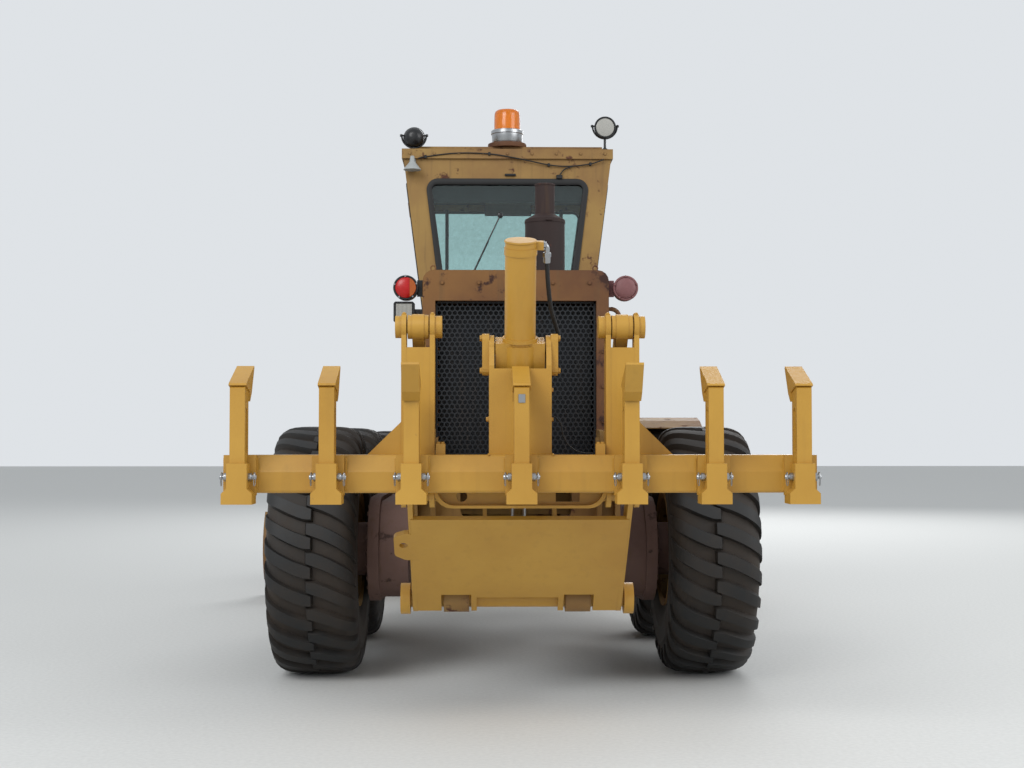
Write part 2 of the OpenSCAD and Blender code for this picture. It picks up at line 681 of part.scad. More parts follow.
// A shank stored point up; its (Y, Z) outline with the worn tip
module shank(x, backwards) {
    front = beam_back - 8.3;
    back = pocket_y + 16.3;
    mid = (front + back) / 2;
    low = beam_z - 40;
    top = beam_z + beam_h + 270;
    translate([0, backwards ? 2 * mid : 0, 0]) mirror([0, backwards ? 1 : 0, 0]) {
        difference() {
            lengthwise(x - shank_t / 2, x + shank_t / 2) polygon([[back, low], [front, low], [front, top],
                [front + 60, top + 70], [back + 30, top + 60], [back, top + 40]]);
            // hollowed sides
            for (s = [-1, 1]) lengthwise(x + s * shank_t / 2 - 14, x + s * shank_t / 2 + 14)
                polygon(rounded([[mid - 22, beam_z + beam_h + 12], [mid + 22, beam_z + beam_h + 12],
                    [mid + 22, top - 50], [mid - 22, top - 50]], 16, 1));
        }
        lengthwise(x - shank_t / 2 - 6, x + shank_t / 2 + 6) polygon([[back - 4, top + 52],
            [back + 6, top + 62],
            [front + 134, top + 152], [front + 138, top + 142], [front + 60, top + 20], [front + 12, top - 20],
            [front + 6, top + 24]]);
    }
}

module ripper_shanks() {
    // the pair behind the masts points backwards
    color(yellow) for (x = shank_x) shank(x, abs(x) == shank_mid_x);
}

rod_line = rod_pin - [pivot_y, pivot_z];
rod_reach = norm(rod_line);
rod_tilt = atan2(rod_line[0], -rod_line[1]); // forward lean of the rod's lower end
ripper_rod_r = 38;
barrel_up = 530;
barrel_down = 110;

// Draws with the cylinder's axis along -Z from the trunnion
module along_ripper_cylinder() {
    translate([0, pivot_y, pivot_z]) rotate([rod_tilt, 0, 0]) children();
}

module ripper_barrel() {
    color(yellow) along_ripper_cylinder() difference() {
        union() {
            translate([0, 0, -20]) cylinder(h = barrel_up + 20, r = ripper_cyl_d / 2);
            translate([0, 0, barrel_up - 70]) cylinder(h = 34, r = ripper_cyl_d / 2 + 4);
            translate([0, 0, -barrel_down]) cylinder(h = barrel_down + 20, r = ripper_cyl_d / 2 + 14);
            block([-post_half + 25 + run_gap, -62, -95], [post_half - 25 - run_gap, 62, 36]);
            translate([0, 0, 35]) cylinder(h = 17, r = ripper_cyl_d / 2 + 10);
            cross_bar(-post_half - 22, post_half + 22, 0, 0, 30);
            translate([ripper_cyl_d / 2 - 12, -18, barrel_up - 46]) cube([46, 36, 40]);
        }
        translate([0, 0, -barrel_down - 1]) cylinder(h = barrel_down + barrel_up - 29,
            r = ripper_rod_r + fit);
    }
}

module ripper_rod() {
    inner_end = -barrel_down + 20;
    color(steel) along_ripper_cylinder() {
        union() {
            translate([0, 0, -rod_reach + 30]) cylinder(h = rod_reach - 30 + inner_end + 60, r = ripper_rod_r);
            cross_bar(-rod_eye_half, rod_eye_half, 0, -rod_reach, 50);
        }
    }
}

// Front frame

beam_half = 160;
stud_y = front_y - blade_base + 500;
saddle_y = stud_y + 240;
trunnion_r = 30;
ball = [front_y - 420, 700]; // the drawbar's ball in (Y, Z)
ball_r = 62;
crest_low = 1570;
crest_high = 1900;
bolster_y = [95, 135];
axle_pin_z = axle_z - 15;
cab_rear = cab_rear_y();
cab_front = cab_rear + cab_len;
lift_x = 620;
lift_z = 2150;
lift_pin_z = 1070;
lift_tilt = atan2(saddle_y - stud_y, lift_z - lift_pin_z);
lift_reach = norm([saddle_y - stud_y, lift_z - lift_pin_z]);
tow_r = 22;

beam_low = hitch_z[0] - 60;
beam_top = axle_z + 695;
nose_low = axle_z + 315;
beam_t = 28; // plate thickness of the box beam
nose_out = front_y + 360; // front end of the beam
// Side view of the box beam that arches from the articulation over the blade to the front axle
module gooseneck_outline() {
    polygon([[hitch_y + 190, beam_low], [cab_front - 150, beam_low], [cab_front + 110, beam_low + 330],
        [cab_front + 330, crest_low - 100], [cab_front + 520, crest_low], [front_y - 1150, crest_low],
        [front_y - 830, nose_low + 380], [front_y - 480, nose_low + 70], [front_y - 250, nose_low],
        [nose_out - 30, nose_low], [nose_out, nose_low + 40], [nose_out, nose_low + 240],
        [front_y - 120, nose_low + 320], [front_y - 620, nose_low + 700], [front_y - 960, crest_high],
        [cab_front + 420, crest_high], [cab_front + 200, crest_high - 100], [cab_front + 30, beam_top],
        [hitch_y + 190, beam_top]]);
}
// The hollow inside it, open at the rear end
module gooseneck_hollow() {
    t = beam_t;
    polygon([[hitch_y + 260, beam_low + t], [cab_front - 160, beam_low + t], [cab_front + 86, beam_low + 344],
        [cab_front + 314, crest_low - 76], [cab_front + 514, crest_low + t], [front_y - 1150, crest_low + t],
        [front_y - 818, nose_low + 410], [front_y - 472, nose_low + 102], [front_y - 250, nose_low + t],
        [nose_out - 60, nose_low + t], [nose_out - 60, nose_low + 220], [front_y - 130, nose_low + 290],
        [front_y - 634, nose_low + 672], [front_y - 966, crest_high - t], [cab_front + 430, crest_high - t],
        [cab_front + 224, crest_high - 116], [cab_front + 46, beam_top - t], [hitch_y + 260, beam_top - t]]);
    polygon([[hitch_y + 100, beam_low + 180], [hitch_y + 300, beam_low + 180], [hitch_y + 300, beam_low + 360],
        [hitch_y + 100, beam_low + 360]]);
}

// A length of the hollow box beam between two stations, shortened by the fit at its ends
module beam_section(y0, y1) {
    color(yellow) intersection() {
        difference() {
            lengthwise(-beam_half, beam_half) gooseneck_outline();
            lengthwise(-beam_half + beam_t, beam_half - beam_t) gooseneck_hollow();
        }
        block([-200, y0 + fit / 2, 0], [200, y1 - fit / 2, 2000]);
    }
}
arch_y = [cab_front + 110, cab_front + 520];

// Carries its children along the right-hand lift cylinder's axis, which runs along -Z from the trunnion
module along_lift_cylinder() {
    translate([lift_x, saddle_y, lift_z]) rotate([-lift_tilt, 0, 0]) children();
}

yoke_in = 80; // from the cylinder's axis to the yoke's plates
// Collar round the beam with an arm to each lift cylinder; the arms end in yokes open to the front
module lift_saddle() {
    arm_end = lift_x - yoke_in - 24;
    color(yellow) difference() {
        union() {
            crosswise(saddle_y - 60, saddle_y + 60) polygon([[-beam_half - 34, crest_low - 34],
                [beam_half + 34, crest_low - 34], [beam_half + 60, crest_high - 60], [arm_end + 2, lift_z - 80],
                [arm_end + 2, lift_z + 60], [beam_half + 20, crest_high + 110],
                    [-beam_half - 20, crest_high + 110],
                [-arm_end - 2, lift_z + 60], [-arm_end - 2, lift_z - 80], [-beam_half - 60, crest_high - 60]]);
            both_sides() flatwise(lift_z - 60, lift_z + 60) polygon([[arm_end, saddle_y - 150],
                [lift_x + yoke_in + 24, saddle_y - 150], [lift_x + yoke_in + 24, saddle_y + 60],
                [lift_x + yoke_in, saddle_y + 60], [lift_x + yoke_in, saddle_y - 126],
                [lift_x - yoke_in, saddle_y - 126], [lift_x - yoke_in, saddle_y + 60],
                    [arm_end, saddle_y + 60]]);
        }
        block([-beam_half - fit, saddle_y - 70, crest_low - fit],
            [beam_half + fit, saddle_y + 70, crest_high + fit]);
        // bores for the cylinders' trunnions
        both_sides() cross_bar(arm_end - 60, lift_x + yoke_in + 30, saddle_y, lift_z, trunnion_r + fit);
    }
}

// Three treads on two hangers under each door, on an outrigger beside the beam
module side_steps() {
    y = [cab_front - 310, cab_front];
    top = floor_z - 40 - fit;
    color(yellow) both_sides() {
        block([floor_half - 98, y[0], top - 22], [floor_half + 340, y[1], top]);
        for (z = [775, 1000, 1225]) block([floor_half + 110, y[0] + 30, z],
            [floor_half + 300, y[1] - 10, z + 30]);
        for (h = [y[0] + 30, y[1] - 30])
            block([floor_half + 140, h, 775], [floor_half + 164, h + 20, top - 10]);
    }
}

// Plates in front of and behind the axle with its pivot pin, and the drawbar's ball on the rear one
module axle_bolster() {
    color(yellow) {
        for (s = [-1, 1]) crosswise(front_y + (s < 0 ? -bolster_y[1] : bolster_y[0]),
            front_y + (s < 0 ? -bolster_y[0] : bolster_y[1]))
            polygon([[-beam_half, nose_low - fit], [beam_half, nose_low - fit],
                [90, axle_pin_z - 70], [-90, axle_pin_z - 70]]);
        long_bar(front_y - bolster_y[1] - 15, front_y + bolster_y[1] + 15, 0, axle_pin_z, 40);
        block([-70, ball[0] + 90, ball[1] - 70], [70, front_y - bolster_y[0] - 4, ball[1] + 70]);
        long_bar(ball[0] + 20, ball[0] + 100, 0, ball[1], 34);
        translate([0, ball[0], ball[1]]) sphere(r = ball_r);
    }
}

module front_frame() {
    color(yellow) {
        difference() {
            union() {
                beam_section(hitch_y, arch_y[0]);
                for (z = hitch_z) flatwise(z - tongue_t / 2, z + tongue_t / 2) {
                    polygon([[-hitch_r, hitch_y], [hitch_r, hitch_y], [beam_half, hitch_y + 200],
                        [-beam_half, hitch_y + 200]]);
                    translate([0, hitch_y]) circle(r = hitch_r);
                }
            }
            translate([0, hitch_y, 0]) cylinder(h = 2000, r = hitch_pin_r + fit);
        }
        // deck under the cab with its cross members
        block([-floor_half, cab_rear, floor_z - 40], [floor_half, cab_front, floor_z - fit]);
        for (y = [hitch_y + 200, cab_front - 260])
            block([-floor_half + 100, y, beam_top - 60], [floor_half - 100, y + 60, floor_z - 38]);
    }
}

// Push block at the nose with a mouth and a pin hole for towing, and the head lamps' arms
module push_block() {
    color(yellow) {
        difference() {
            block([-280, nose_y - 150, nose_low - 300], [280, nose_y, nose_low + 180]);
            block([-110, nose_y - 120, nose_low - 200], [110, nose_y + 1, nose_low - 130]);
            translate([0, nose_y - 60, nose_low - 400]) cylinder(h = 700, r = tow_r);
        }
        block([-120, nose_out + fit, nose_low + 10], [120, nose_y - 140, nose_low + 170]);
        both_sides() block([110, nose_y - 150, nose_low + 175], [150, nose_y - 110, nose_low + 440]);
    }
}

// Front axle, leaning wheels and steering

lean_pin = [690, axle_z - 145]; // (X, Z) of the lower lean pin
lean_rise = 380; // height of the lean bar's pins over it
lean_pin_r = 30;
kingpin_x = 800;
kingpin_r = 28;
knuckle_z = [axle_z - 105, axle_z + 105]; // lower and upper end of the knuckle's barrel
arm_z = [axle_z - 255, axle_z - 217]; // lower and upper face of the steering arms
arm_reach = 230; // from the kingpin forward to the tie rod's pins
tie_z = arm_z[0] - 50;
tie_pin_r = 16;
tie_ball_r = 26;
tie_y = front_y + arm_reach;
cheek = [71, 101]; // sideways faces of a lean bracket's cheeks, from the axle's middle

// The axle beam's right half seen from behind
axle_side = [for (p = [[200, -90], [480, -145], [lean_pin[0], -165], [lean_pin[0], -90], [480, -40], [200, 70]])
    [p[0], axle_pin_z + p[1]]];
module front_axle() {
    color(yellow) difference() {
        union() {
            crosswise(front_y - 65, front_y + 65)
                polygon(concat(axle_side, [for (i = [5 : -1 : 0]) [-axle_side[i][0], axle_side[i][1]]]));
            both_sides() long_bar(front_y - 65, front_y + 65, lean_pin[0], lean_pin[1], 50);
            for (s = [-1, 1]) long_bar(front_y + s * 65 - 20, front_y + s * 65 + 20, 0, axle_pin_z, 66);
        }
        long_bar(front_y - 200, front_y + 200, 0, axle_pin_z, 40 + fit);
        both_sides() long_bar(front_y - 200, front_y + 200, lean_pin[0], lean_pin[1], lean_pin_r + fit);
    }
}

// Bracket on the right end of the axle: two cheeks on the lean pin that carry the kingpin's eyes
module lean_bracket(pinned) {
    color(yellow) {
        difference() {
            union() {
                for (s = [-1, 1]) crosswise(front_y + s * 86 - 15, front_y + s * 86 + 15) {
                    polygon([[lean_pin[0] - 44, lean_pin[1]], [lean_pin[0], lean_pin[1] - 48],
                        [kingpin_x + 20, lean_pin[1] - 48],
                        [kingpin_x + 20, knuckle_z[0] - run_gap], [lean_pin[0] + 16, knuckle_z[0] + 20],
                        [lean_pin[0] + 16, knuckle_z[1] - 20], [kingpin_x + 20, knuckle_z[1] + run_gap],
                        [kingpin_x + 20, knuckle_z[1] + run_gap + 50],
                            [lean_pin[0] + 40, lean_pin[1] + lean_rise],
                        [lean_pin[0] - 40, lean_pin[1] + lean_rise]]);
                    translate(lean_pin) circle(r = 48);
                    translate([lean_pin[0], lean_pin[1] + lean_rise]) circle(r = 44);
                }
                for (z = [knuckle_z[0] - run_gap - 50, knuckle_z[1] + run_gap]) flatwise(z, z + 50) {
                    translate([kingpin_x, front_y]) circle(r = 54);
                    translate([kingpin_x - 26, front_y - cheek[0] - 2]) square([46, 2 * cheek[0] + 4]);
                }
            }
            translate([kingpin_x, front_y, 0]) cylinder(h = 2000, r = kingpin_r + fit);
        }
        long_bar(front_y - 110, front_y + 110, lean_pin[0], lean_pin[1], lean_pin_r);
        // the bar's pin, or its two heads where the bar's eye only lies between the cheeks
        if (pinned) long_bar(front_y - 110, front_y + 110, lean_pin[0], lean_pin[1] + lean_rise, 24);
        else for (s = [-1, 1]) long_bar(front_y + s * 106 - 10, front_y + s * 106 + 10,
            lean_pin[0], lean_pin[1] + lean_rise, 24);
    }
}

module lean_bar() {
    z = lean_pin[1] + lean_rise;
    color(yellow) difference() {
        union() {
            crosswise(front_y - 40, front_y + 40)
                polygon([[-lean_pin[0], z - 30], [lean_pin[0], z - 30], [lean_pin[0], z + 30],
                    [-lean_pin[0], z + 30]]);
            both_sides() long_bar(front_y - 60, front_y + 60, lean_pin[0], z, 42);
        }
        long_bar(front_y - 100, front_y + 100, -lean_pin[0], z, 24 + fit);
    }
}

// Right-hand knuckle: barrel on the kingpin, spindle, and steering arm under the bracket
module knuckle(ball) {
    color(yellow) {
        translate([kingpin_x, front_y, knuckle_z[0]]) cylinder(h = knuckle_z[1] - knuckle_z[0], r = 56);
        translate([kingpin_x, front_y, arm_z[0]]) cylinder(h = knuckle_z[1] + 60 - arm_z[0], r = kingpin_r);
        cross_bar(kingpin_x + 20, wheel_x - 160 - run_gap, front_y, axle_z, 72);
        cross_bar(kingpin_x + 20, wheel_x + disc_x + 38, front_y, axle_z, spindle_r);
        flatwise(arm_z[0], arm_z[1]) {
            translate([kingpin_x, front_y]) circle(r = 50);
            polygon([[kingpin_x - 40, front_y], [kingpin_x + 40, front_y], [kingpin_x + 26, tie_y],
                [kingpin_x - 26, tie_y]]);
            translate([kingpin_x, tie_y]) circle(r = 36);
        }
        // pin for the tie rod, pointing down
        translate([kingpin_x, tie_y, tie_z - 24]) cylinder(h = arm_z[0] - tie_z + 30, r = tie_pin_r);
        if (ball) translate([kingpin_x, tie_y, tie_z]) sphere(r = tie_ball_r);
    }
}

// Small cross piece that lets the tie rod turn on the left arm's pin and follow the leaning wheels
module tie_rod_end() {
    color(steel) difference() {
        union() {
            translate([-kingpin_x, tie_y, tie_z - 20]) cylinder(h = 40, r = 32);
            long_bar(tie_y - 58, tie_y + 58, -kingpin_x, tie_z, 10);
        }
        translate([-kingpin_x, tie_y, tie_z - 30]) cylinder(h = 100, r = tie_pin_r + fit);
    }
}

module tie_rod() {
    color(yellow) {
        cross_bar(-kingpin_x + 58, kingpin_x - 52, tie_y, tie_z, 24);
        // fork round the left end
        difference() {
            block([-kingpin_x - 24, tie_y - 58, tie_z - 20], [-kingpin_x + 70, tie_y + 58, tie_z + 20]);
            block([-kingpin_x - 40, tie_y - 37, tie_z - 30], [-kingpin_x + 50, tie_y + 37, tie_z + 30]);
            long_bar(tie_y - 100, tie_y + 100, -kingpin_x, tie_z, 10.4);
        }
        // ring round the right arm's ball
        translate([kingpin_x, tie_y, tie_z - 12]) difference() {
            cylinder(h = 24, r = 60);
            translate([0, 0, -1]) cylinder(h = 26, r = 45);
        }
    }
}

// Drawbar, circle and blade

circle_y = front_y - blade_base;
circle_r = circle_d / 2;
circle_z = [870, 950];
drawbar_z = [circle_z[1] + fit, 1050];
eye_half = 36; // half width of a lift rod's eye
eye_round = 42;
clamp_a = 60.5; // where the four clamps sit on the circle, from the cross axis

// Clevis for the right-hand lift rod: two lugs with the heads of the pin
module lift_clevis() {
    for (s = [-1, 1]) {
        x = lift_x + s * (eye_half + 12.4);
        lengthwise(x - 12, x + 12) {
            polygon([[stud_y - 60, drawbar_z[0] + 4], [stud_y + 60, drawbar_z[0] + 4],
                [stud_y + 36, lift_pin_z], [stud_y - 36, lift_pin_z]]);
            translate([stud_y, lift_pin_z]) circle(r = 40);
        }
        cross_bar(x - (s < 0 ? 24 : 0), x + (s < 0 ? 0 : 24), stud_y, lift_pin_z, 24);
    }
    block([480, stud_y - 60, drawbar_z[0] + 2], [lift_x + eye_half + 24.4, stud_y + 60, drawbar_z[0] + 36]);
}

// The drawbar's neck down to the ball; its front end is the socket
neck_y = ball[0] - 169;
module neck() {
    y = ball[0];
    z = ball[1];
    difference() {
        lengthwise(-80, 80) polygon([[y - 430, drawbar_z[0] + 4], [y - 160, drawbar_z[0] - 40],
            [y - 40, z - 80], [y + ball_r + 4, z - 80], [y + ball_r + 4, z + 80], [y - 60, z + 110],
            [y - 180, drawbar_z[1] - 4], [y - 430, drawbar_z[1] - 4]]);
        translate([0, y, z]) sphere(r = ball_r + fit);
        long_bar(y, y + 100, 0, z, 50);
    }
}
module drawbar_socket() {
    color(yellow) intersection() {
        neck();
        block([-99, neck_y, 0], [99, nose_y, 2000]);
    }
}

module drawbar() {
    color(yellow) {
        // two arms from the ball to the circle's sides
        both_sides() flatwise(drawbar_z[0], drawbar_z[1]) polygon([[20, ball[0] - 190], [90, ball[0] - 170],
            [500, circle_y + 640], [500, circle_y - 800], [360, circle_y - 800], [360, circle_y + 600],
                [20, ball[0] - 420]]);
        // cross members over the circle
        for (y = [circle_y - 800, circle_y - 160, circle_y + 460])
            block([-370, y, drawbar_z[0]], [370, y + 140, drawbar_z[1] - 4]);
        intersection() {
            neck();
            block([-99, 0, 0], [99, neck_y - fit, 2000]);
        }
        both_sides() lift_clevis();
        // clamps round the circle's outer edge
        translate([0, circle_y, 0]) for (a = [clamp_a, 180 - clamp_a, 180 + clamp_a, -clamp_a]) rotate(a) {
            block([circle_r + 4, -50, circle_z[0] - 34], [circle_r + 50, 50, drawbar_z[1] - 10]);
            block([circle_r - 30, -50, circle_z[0] - 34], [circle_r + 6, 50, circle_z[0] - fit]);
            block([circle_r - 90, -50, drawbar_z[0] + 1], [circle_r + 6, 50, drawbar_z[1] - 10]);
        }
    }
}

arm_x = [470, 560];
blade_mid_z = blade_lift + blade_h / 2;
rail_plane = circle_y - 240; // where the arms meet the blade's slide rails
shift_x = arm_x[1] + 10; // right-hand end of the shift cylinder's barrel
shift_r = 26;
shift_at = [rail_plane - 60, blade_mid_z + 30]; // its axis in (Y, Z)
module circle_ring() {
    color(yellow) {
        translate([0, circle_y, 0]) flatwise(circle_z[0], circle_z[1]) difference() {
            circle(r = circle_r, $fn = 96);
            polygon([for (i = [0 : circle_teeth - 1], k = [0 : 3])
                let (a = (i + [0, 0.22, 0.5, 0.72][k]) * 360 / circle_teeth, r = circle_r - (k < 2 ? 130 : 100))
                r * [cos(a), sin(a)]]);
        }
        cross_bar(-arm_x[0] - 2, arm_x[0] + 2, circle_y - 430, 700, 60);
        // arms down to the blade's back with the barrel of the cylinder that shifts it
        difference() {
            union() {
                both_sides() lengthwise(arm_x[0], arm_x[1]) polygon([[circle_y - 520, circle_z[0] + 1],
                    [circle_y - 380, circle_z[0] + 1],
                    [rail_plane, blade_mid_z + 170], [rail_plane, blade_mid_z - 190],
                    [circle_y - 330, blade_mid_z - 230],
                    [circle_y - 460, blade_mid_z - 60], [circle_y - 560, circle_z[0] - 120]]);
                cross_bar(-shift_x - 140, shift_x, shift_at[0], shift_at[1], 46);
            }
            cross_bar(-shift_x - 110, shift_x + 1, shift_at[0], shift_at[1], shift_r + fit);
        }
    }
}

blade_t = 22;
edge_t = 19;
blade_steps = 8;
blade_centre = [rail_plane + 90 + blade_curve, blade_mid_z + 20]; // centre of the curve, in front of it
blade_top_a = asin((blade_lift + blade_h - blade_centre[1]) / (blade_curve + blade_t));
blade_low_a = asin((blade_centre[1] - blade_lift - 100) / blade_curve);
function blade_point(i, r) = let (a = 180 - blade_top_a + i * (blade_top_a + blade_low_a) / blade_steps)
    blade_centre + r * [cos(a), sin(a)];
module moldboard() {
    color(yellow) {
        lengthwise(-blade_len / 2, blade_len / 2) polygon(concat(
            [for (i = [0 : blade_steps]) blade_point(i, blade_curve)],
            [for (i = [blade_steps : -1 : 0]) blade_point(i, blade_curve + blade_t)]));
        // slide rails behind it, with webs to the plate
        for (z = [blade_mid_z - 130, blade_mid_z + 90])
            block([-blade_len / 2 + 500, rail_plane + 0.4, z], [blade_len / 2 - 500, rail_plane + 120, z + 40]);
        // shift rod, held by a lug on the upper rail
        cross_bar(-60, shift_x + 660, shift_at[0], shift_at[1], shift_r);
        lengthwise(shift_x + 640, shift_x + 670) polygon([[shift_at[0] - 45, shift_at[1] - 40],
            [rail_plane - 10, shift_at[1] - 40], [rail_plane + 60, blade_mid_z + 92],
            [rail_plane + 60, blade_mid_z + 110], [shift_at[0] - 10, blade_mid_z + 110]]);
    }
}

// Straight edge bolted to the front of the moldboard's lowest strip
module cutting_edge() {
    low = blade_point(blade_steps, blade_curve);
    along = unit(low - blade_point(blade_steps - 1, blade_curve));
    inward = [-along[1], along[0]];
    color(steel) lengthwise(-blade_len / 2, blade_len / 2) intersection() {
        polygon([low - 70 * along + 0.3 * inward, low + 200 * along + 0.3 * inward,
            low + 200 * along + edge_t * inward, low - 70 * along + edge_t * inward]);
        translate([circle_y - 500, blade_lift]) square([1000, 500]);
    }
}

// Blade lift cylinders, drawn down from the trunnion
lift_up = 830;
lift_down = 250;
lift_r = 62;
lift_rod_r = 32;
module lift_barrel() {
    color(yellow) along_lift_cylinder() difference() {
        union() {
            translate([0, 0, -lift_down]) cylinder(h = lift_up + lift_down, r = lift_r);
            translate([0, 0, -lift_down]) cylinder(h = 70, r = lift_r + 8);
            cross_bar(-yoke_in + 6, yoke_in - 6, 0, 0, 50);
            cross_bar(-yoke_in - 34, yoke_in + 34, 0, 0, trunnion_r);
        }
        translate([0, 0, -lift_down - 1]) cylinder(h = lift_up + lift_down - 30, r = lift_rod_r + fit);
    }
}
module lift_rod() {
    color(steel) along_lift_cylinder() {
        translate([0, 0, -lift_reach + 36]) cylinder(h = 1560, r = lift_rod_r);
        cross_bar(-eye_half, eye_half, 0, -lift_reach, eye_round);
    }
}

// Cab

function cab_half(z) = floor_half
    + (z - floor_z) * (roof_half - floor_half) / (roof_z - floor_z);
door_y = [cab_front - 110 - door_len, cab_front - 110];
door_z = [floor_z + 95, roof_z - 90];
door_gap = 8;

// The cab's cross section in (X, Z), shrunk by an inset
module cab_section(inset, low, high) {
    polygon([[-cab_half(low) + inset, low], [cab_half(low) - inset, low], [cab_half(high) - inset, high],
        [-cab_half(high) + inset, high]]);
}

// A window's outline in the cab's end walls, with a margin from the sloping sides
function end_window(margin, low, high, inset) = rounded([
    [-cab_half(low) + margin + inset, low + inset], [cab_half(low) - margin - inset, low + inset],
    [cab_half(high) - margin - inset, high - inset], [-cab_half(high) + margin + inset, high - inset]],
        60 - inset);

rear_window = [2300, 3256];
side_window = [[cab_rear + 110, door_y[0] - 90], [2300, 3256]];
low_window = [1700, 2180];

module rear_window_outline(inset) { polygon(end_window(155, rear_window[0], rear_window[1], inset)); }
module front_window_outline(inset) { polygon(end_window(95, rear_window[0], rear_window[1] + 30, inset)); }
module low_window_outline(inset) {
    for (s = [-1, 1]) polygon(rounded([[s * (120 + inset), low_window[0] + inset],
        [s * (cab_half(low_window[0]) - 80 - inset), low_window[0] + inset],
        [s * (cab_half(low_window[1]) - 80 - inset), low_window[1] - inset],
            [s * (120 + inset), low_window[1] - inset]], 40 - inset));
}
module side_window_outline(inset) {
    polygon(round_rect(side_window[0][0] + inset, side_window[0][1] - inset, side_window[1][0] + inset,
        side_window[1][1] - inset, 60 - inset));
}
module door_outline(inset) {
    polygon(round_rect(door_y[0] + inset, door_y[1] - inset, door_z[0] + inset, door_z[1] - inset, 70 - inset));
}
module door_window_outline(inset) {
    polygon(round_rect(door_y[0] + 90 + inset, door_y[1] - 90 - inset, 1900 + inset, door_z[1] - 90 - inset,
        70 - inset));
}

wall_lean = atan2(roof_half - floor_half, roof_z - floor_z);
hinge_off = 16; // from the wall's face out to the door's hinge line
hinge_y = door_y[0] + 2;
hinge_z = [1800, 3150];
hinge_pin_r = 6;
// Draws at the right-hand door's hinge line, level z, with local Z along the line
module at_hinge(z) {
    translate([cab_half(z) + hinge_off / cos(wall_lean), hinge_y, z]) rotate([0, wall_lean, 0]) children();
}

module cab() {
    color(yellow) {
        difference() {
            crosswise(cab_rear, cab_front) cab_section(0, floor_z, roof_z + 1);
            crosswise(cab_rear + cab_wall, cab_front - cab_wall)
                cab_section(cab_wall, floor_z + 30, roof_z + 2);
            crosswise(cab_rear - 1, cab_rear + 100) rear_window_outline(0);
            crosswise(cab_front - 100, cab_front + 1) { front_window_outline(0); low_window_outline(0); }
            lengthwise(-1000, 1000) { side_window_outline(0); door_outline(0); }
        }
        // hinge lugs and pins of the doors
        both_sides() for (z = hinge_z) at_hinge(z) {
            for (s = [-1, 1]) {
                translate([0, 0, s * 43 - 12]) cylinder(h = 24, r = 13);
                block([-hinge_off - 1, -50, s * 43 - 12], [-5, 0, s * 43 + 12]);
            }
            translate([0, 0, -44]) cylinder(h = 88, r = hinge_pin_r);
        }
        // roof with a small overhang and a raised middle
        block([-roof_half - 12, cab_rear - 20, roof_z], [roof_half + 12, cab_front + 60, roof_z + 70]);
        block([-roof_half + 60, cab_rear + 60, roof_z + 69], [roof_half - 60, cab_front - 40, roof_z + 100]);
    }
}

glass_t = 6;
module side_skin(inset, depth) {
    // the slab of the right-hand wall between two depths
    intersection() {
        children();
        difference() {
            crosswise(cab_rear, cab_front) cab_section(inset, floor_z, roof_z);
            crosswise(cab_rear - 1, cab_front + 1) cab_section(inset + depth, floor_z - 1, roof_z + 1);
        }
    }
}

module cab_glass() {
    color("#9fc4c4", 0.35) {
        crosswise(cab_rear + 18, cab_rear + 18 + glass_t) rear_window_outline(fit);
        crosswise(cab_front - 24, cab_front - 24 + glass_t) {
            front_window_outline(fit);
            low_window_outline(fit);
        }
        both_sides() side_skin(18, glass_t) lengthwise(0, 1000) side_window_outline(fit);
    }
}

// Right-hand door: its frame is a piece of the wall's own thickness
module door() {
    color(yellow) {
        side_skin(0, cab_wall) difference() {
            lengthwise(0, 1000) door_outline(door_gap);
            lengthwise(-1, 1001) door_window_outline(0);
        }
        for (z = hinge_z) at_hinge(z) difference() {
            union() {
                translate([0, 0, -30.5]) cylinder(h = 61, r = 13);
                block([-hinge_off - 1, 0, -30], [-5, 70, 30]);
            }
            translate([0, 0, -50]) cylinder(h = 100, r = hinge_pin_r + 0.4);
        }
    }
}
module door_glass() {
    color("#9fc4c4", 0.35) side_skin(18, glass_t) lengthwise(0, 1000) door_window_outline(fit);
}

seat_back = 500; // from the cab's rear wall to the seat's middle
module seat() {
    y = cab_rear + seat_back;
    z = floor_z + 30;
    color("#1f2022") {
        translate([0, y, z]) cylinder(h = 260, r = 110);
        block([-240, y - 230, z + 260], [240, y + 260, z + 380]);
        lengthwise(-230, 230) polygon(rounded([[y - 240, z + 340], [y - 130, z + 360], [y - 200, z + 980],
            [y - 300, z + 960]], 30));
    }
}

module controls() {
    y = cab_front - 355;
    z = floor_z + 30;
    color(dark) {
        // console with the steering column and its wheel
        lengthwise(-150, 150) polygon([[y + 60, z], [y + 300, z], [y + 300, z + 560], [y + 180, z + 760],
            [y + 80, z + 740]]);
        bar([0, y + 130, z + 700], [0, y - 20, z + 850], 26);
        translate([0, y - 30, z + 860]) rotate([45, 0, 0]) {
            rotate_extrude() translate([190, 0]) circle(r = 14, $fn = 24);
            for (a = [0, 120, 240]) rotate(a) translate([0, -12, -8]) cube([190, 24, 14]);
            translate([0, 0, -20]) cylinder(h = 34, r = 40);
        }
        // two banks of levers
        for (s = [-1, 1]) for (i = [0 : 4]) bar([s * (70 + i * 16), y + 170 - i * 6, z + 720],
            [s * (170 + i * 34), y + 60 - i * 10, z + 920], 7);
    }
}

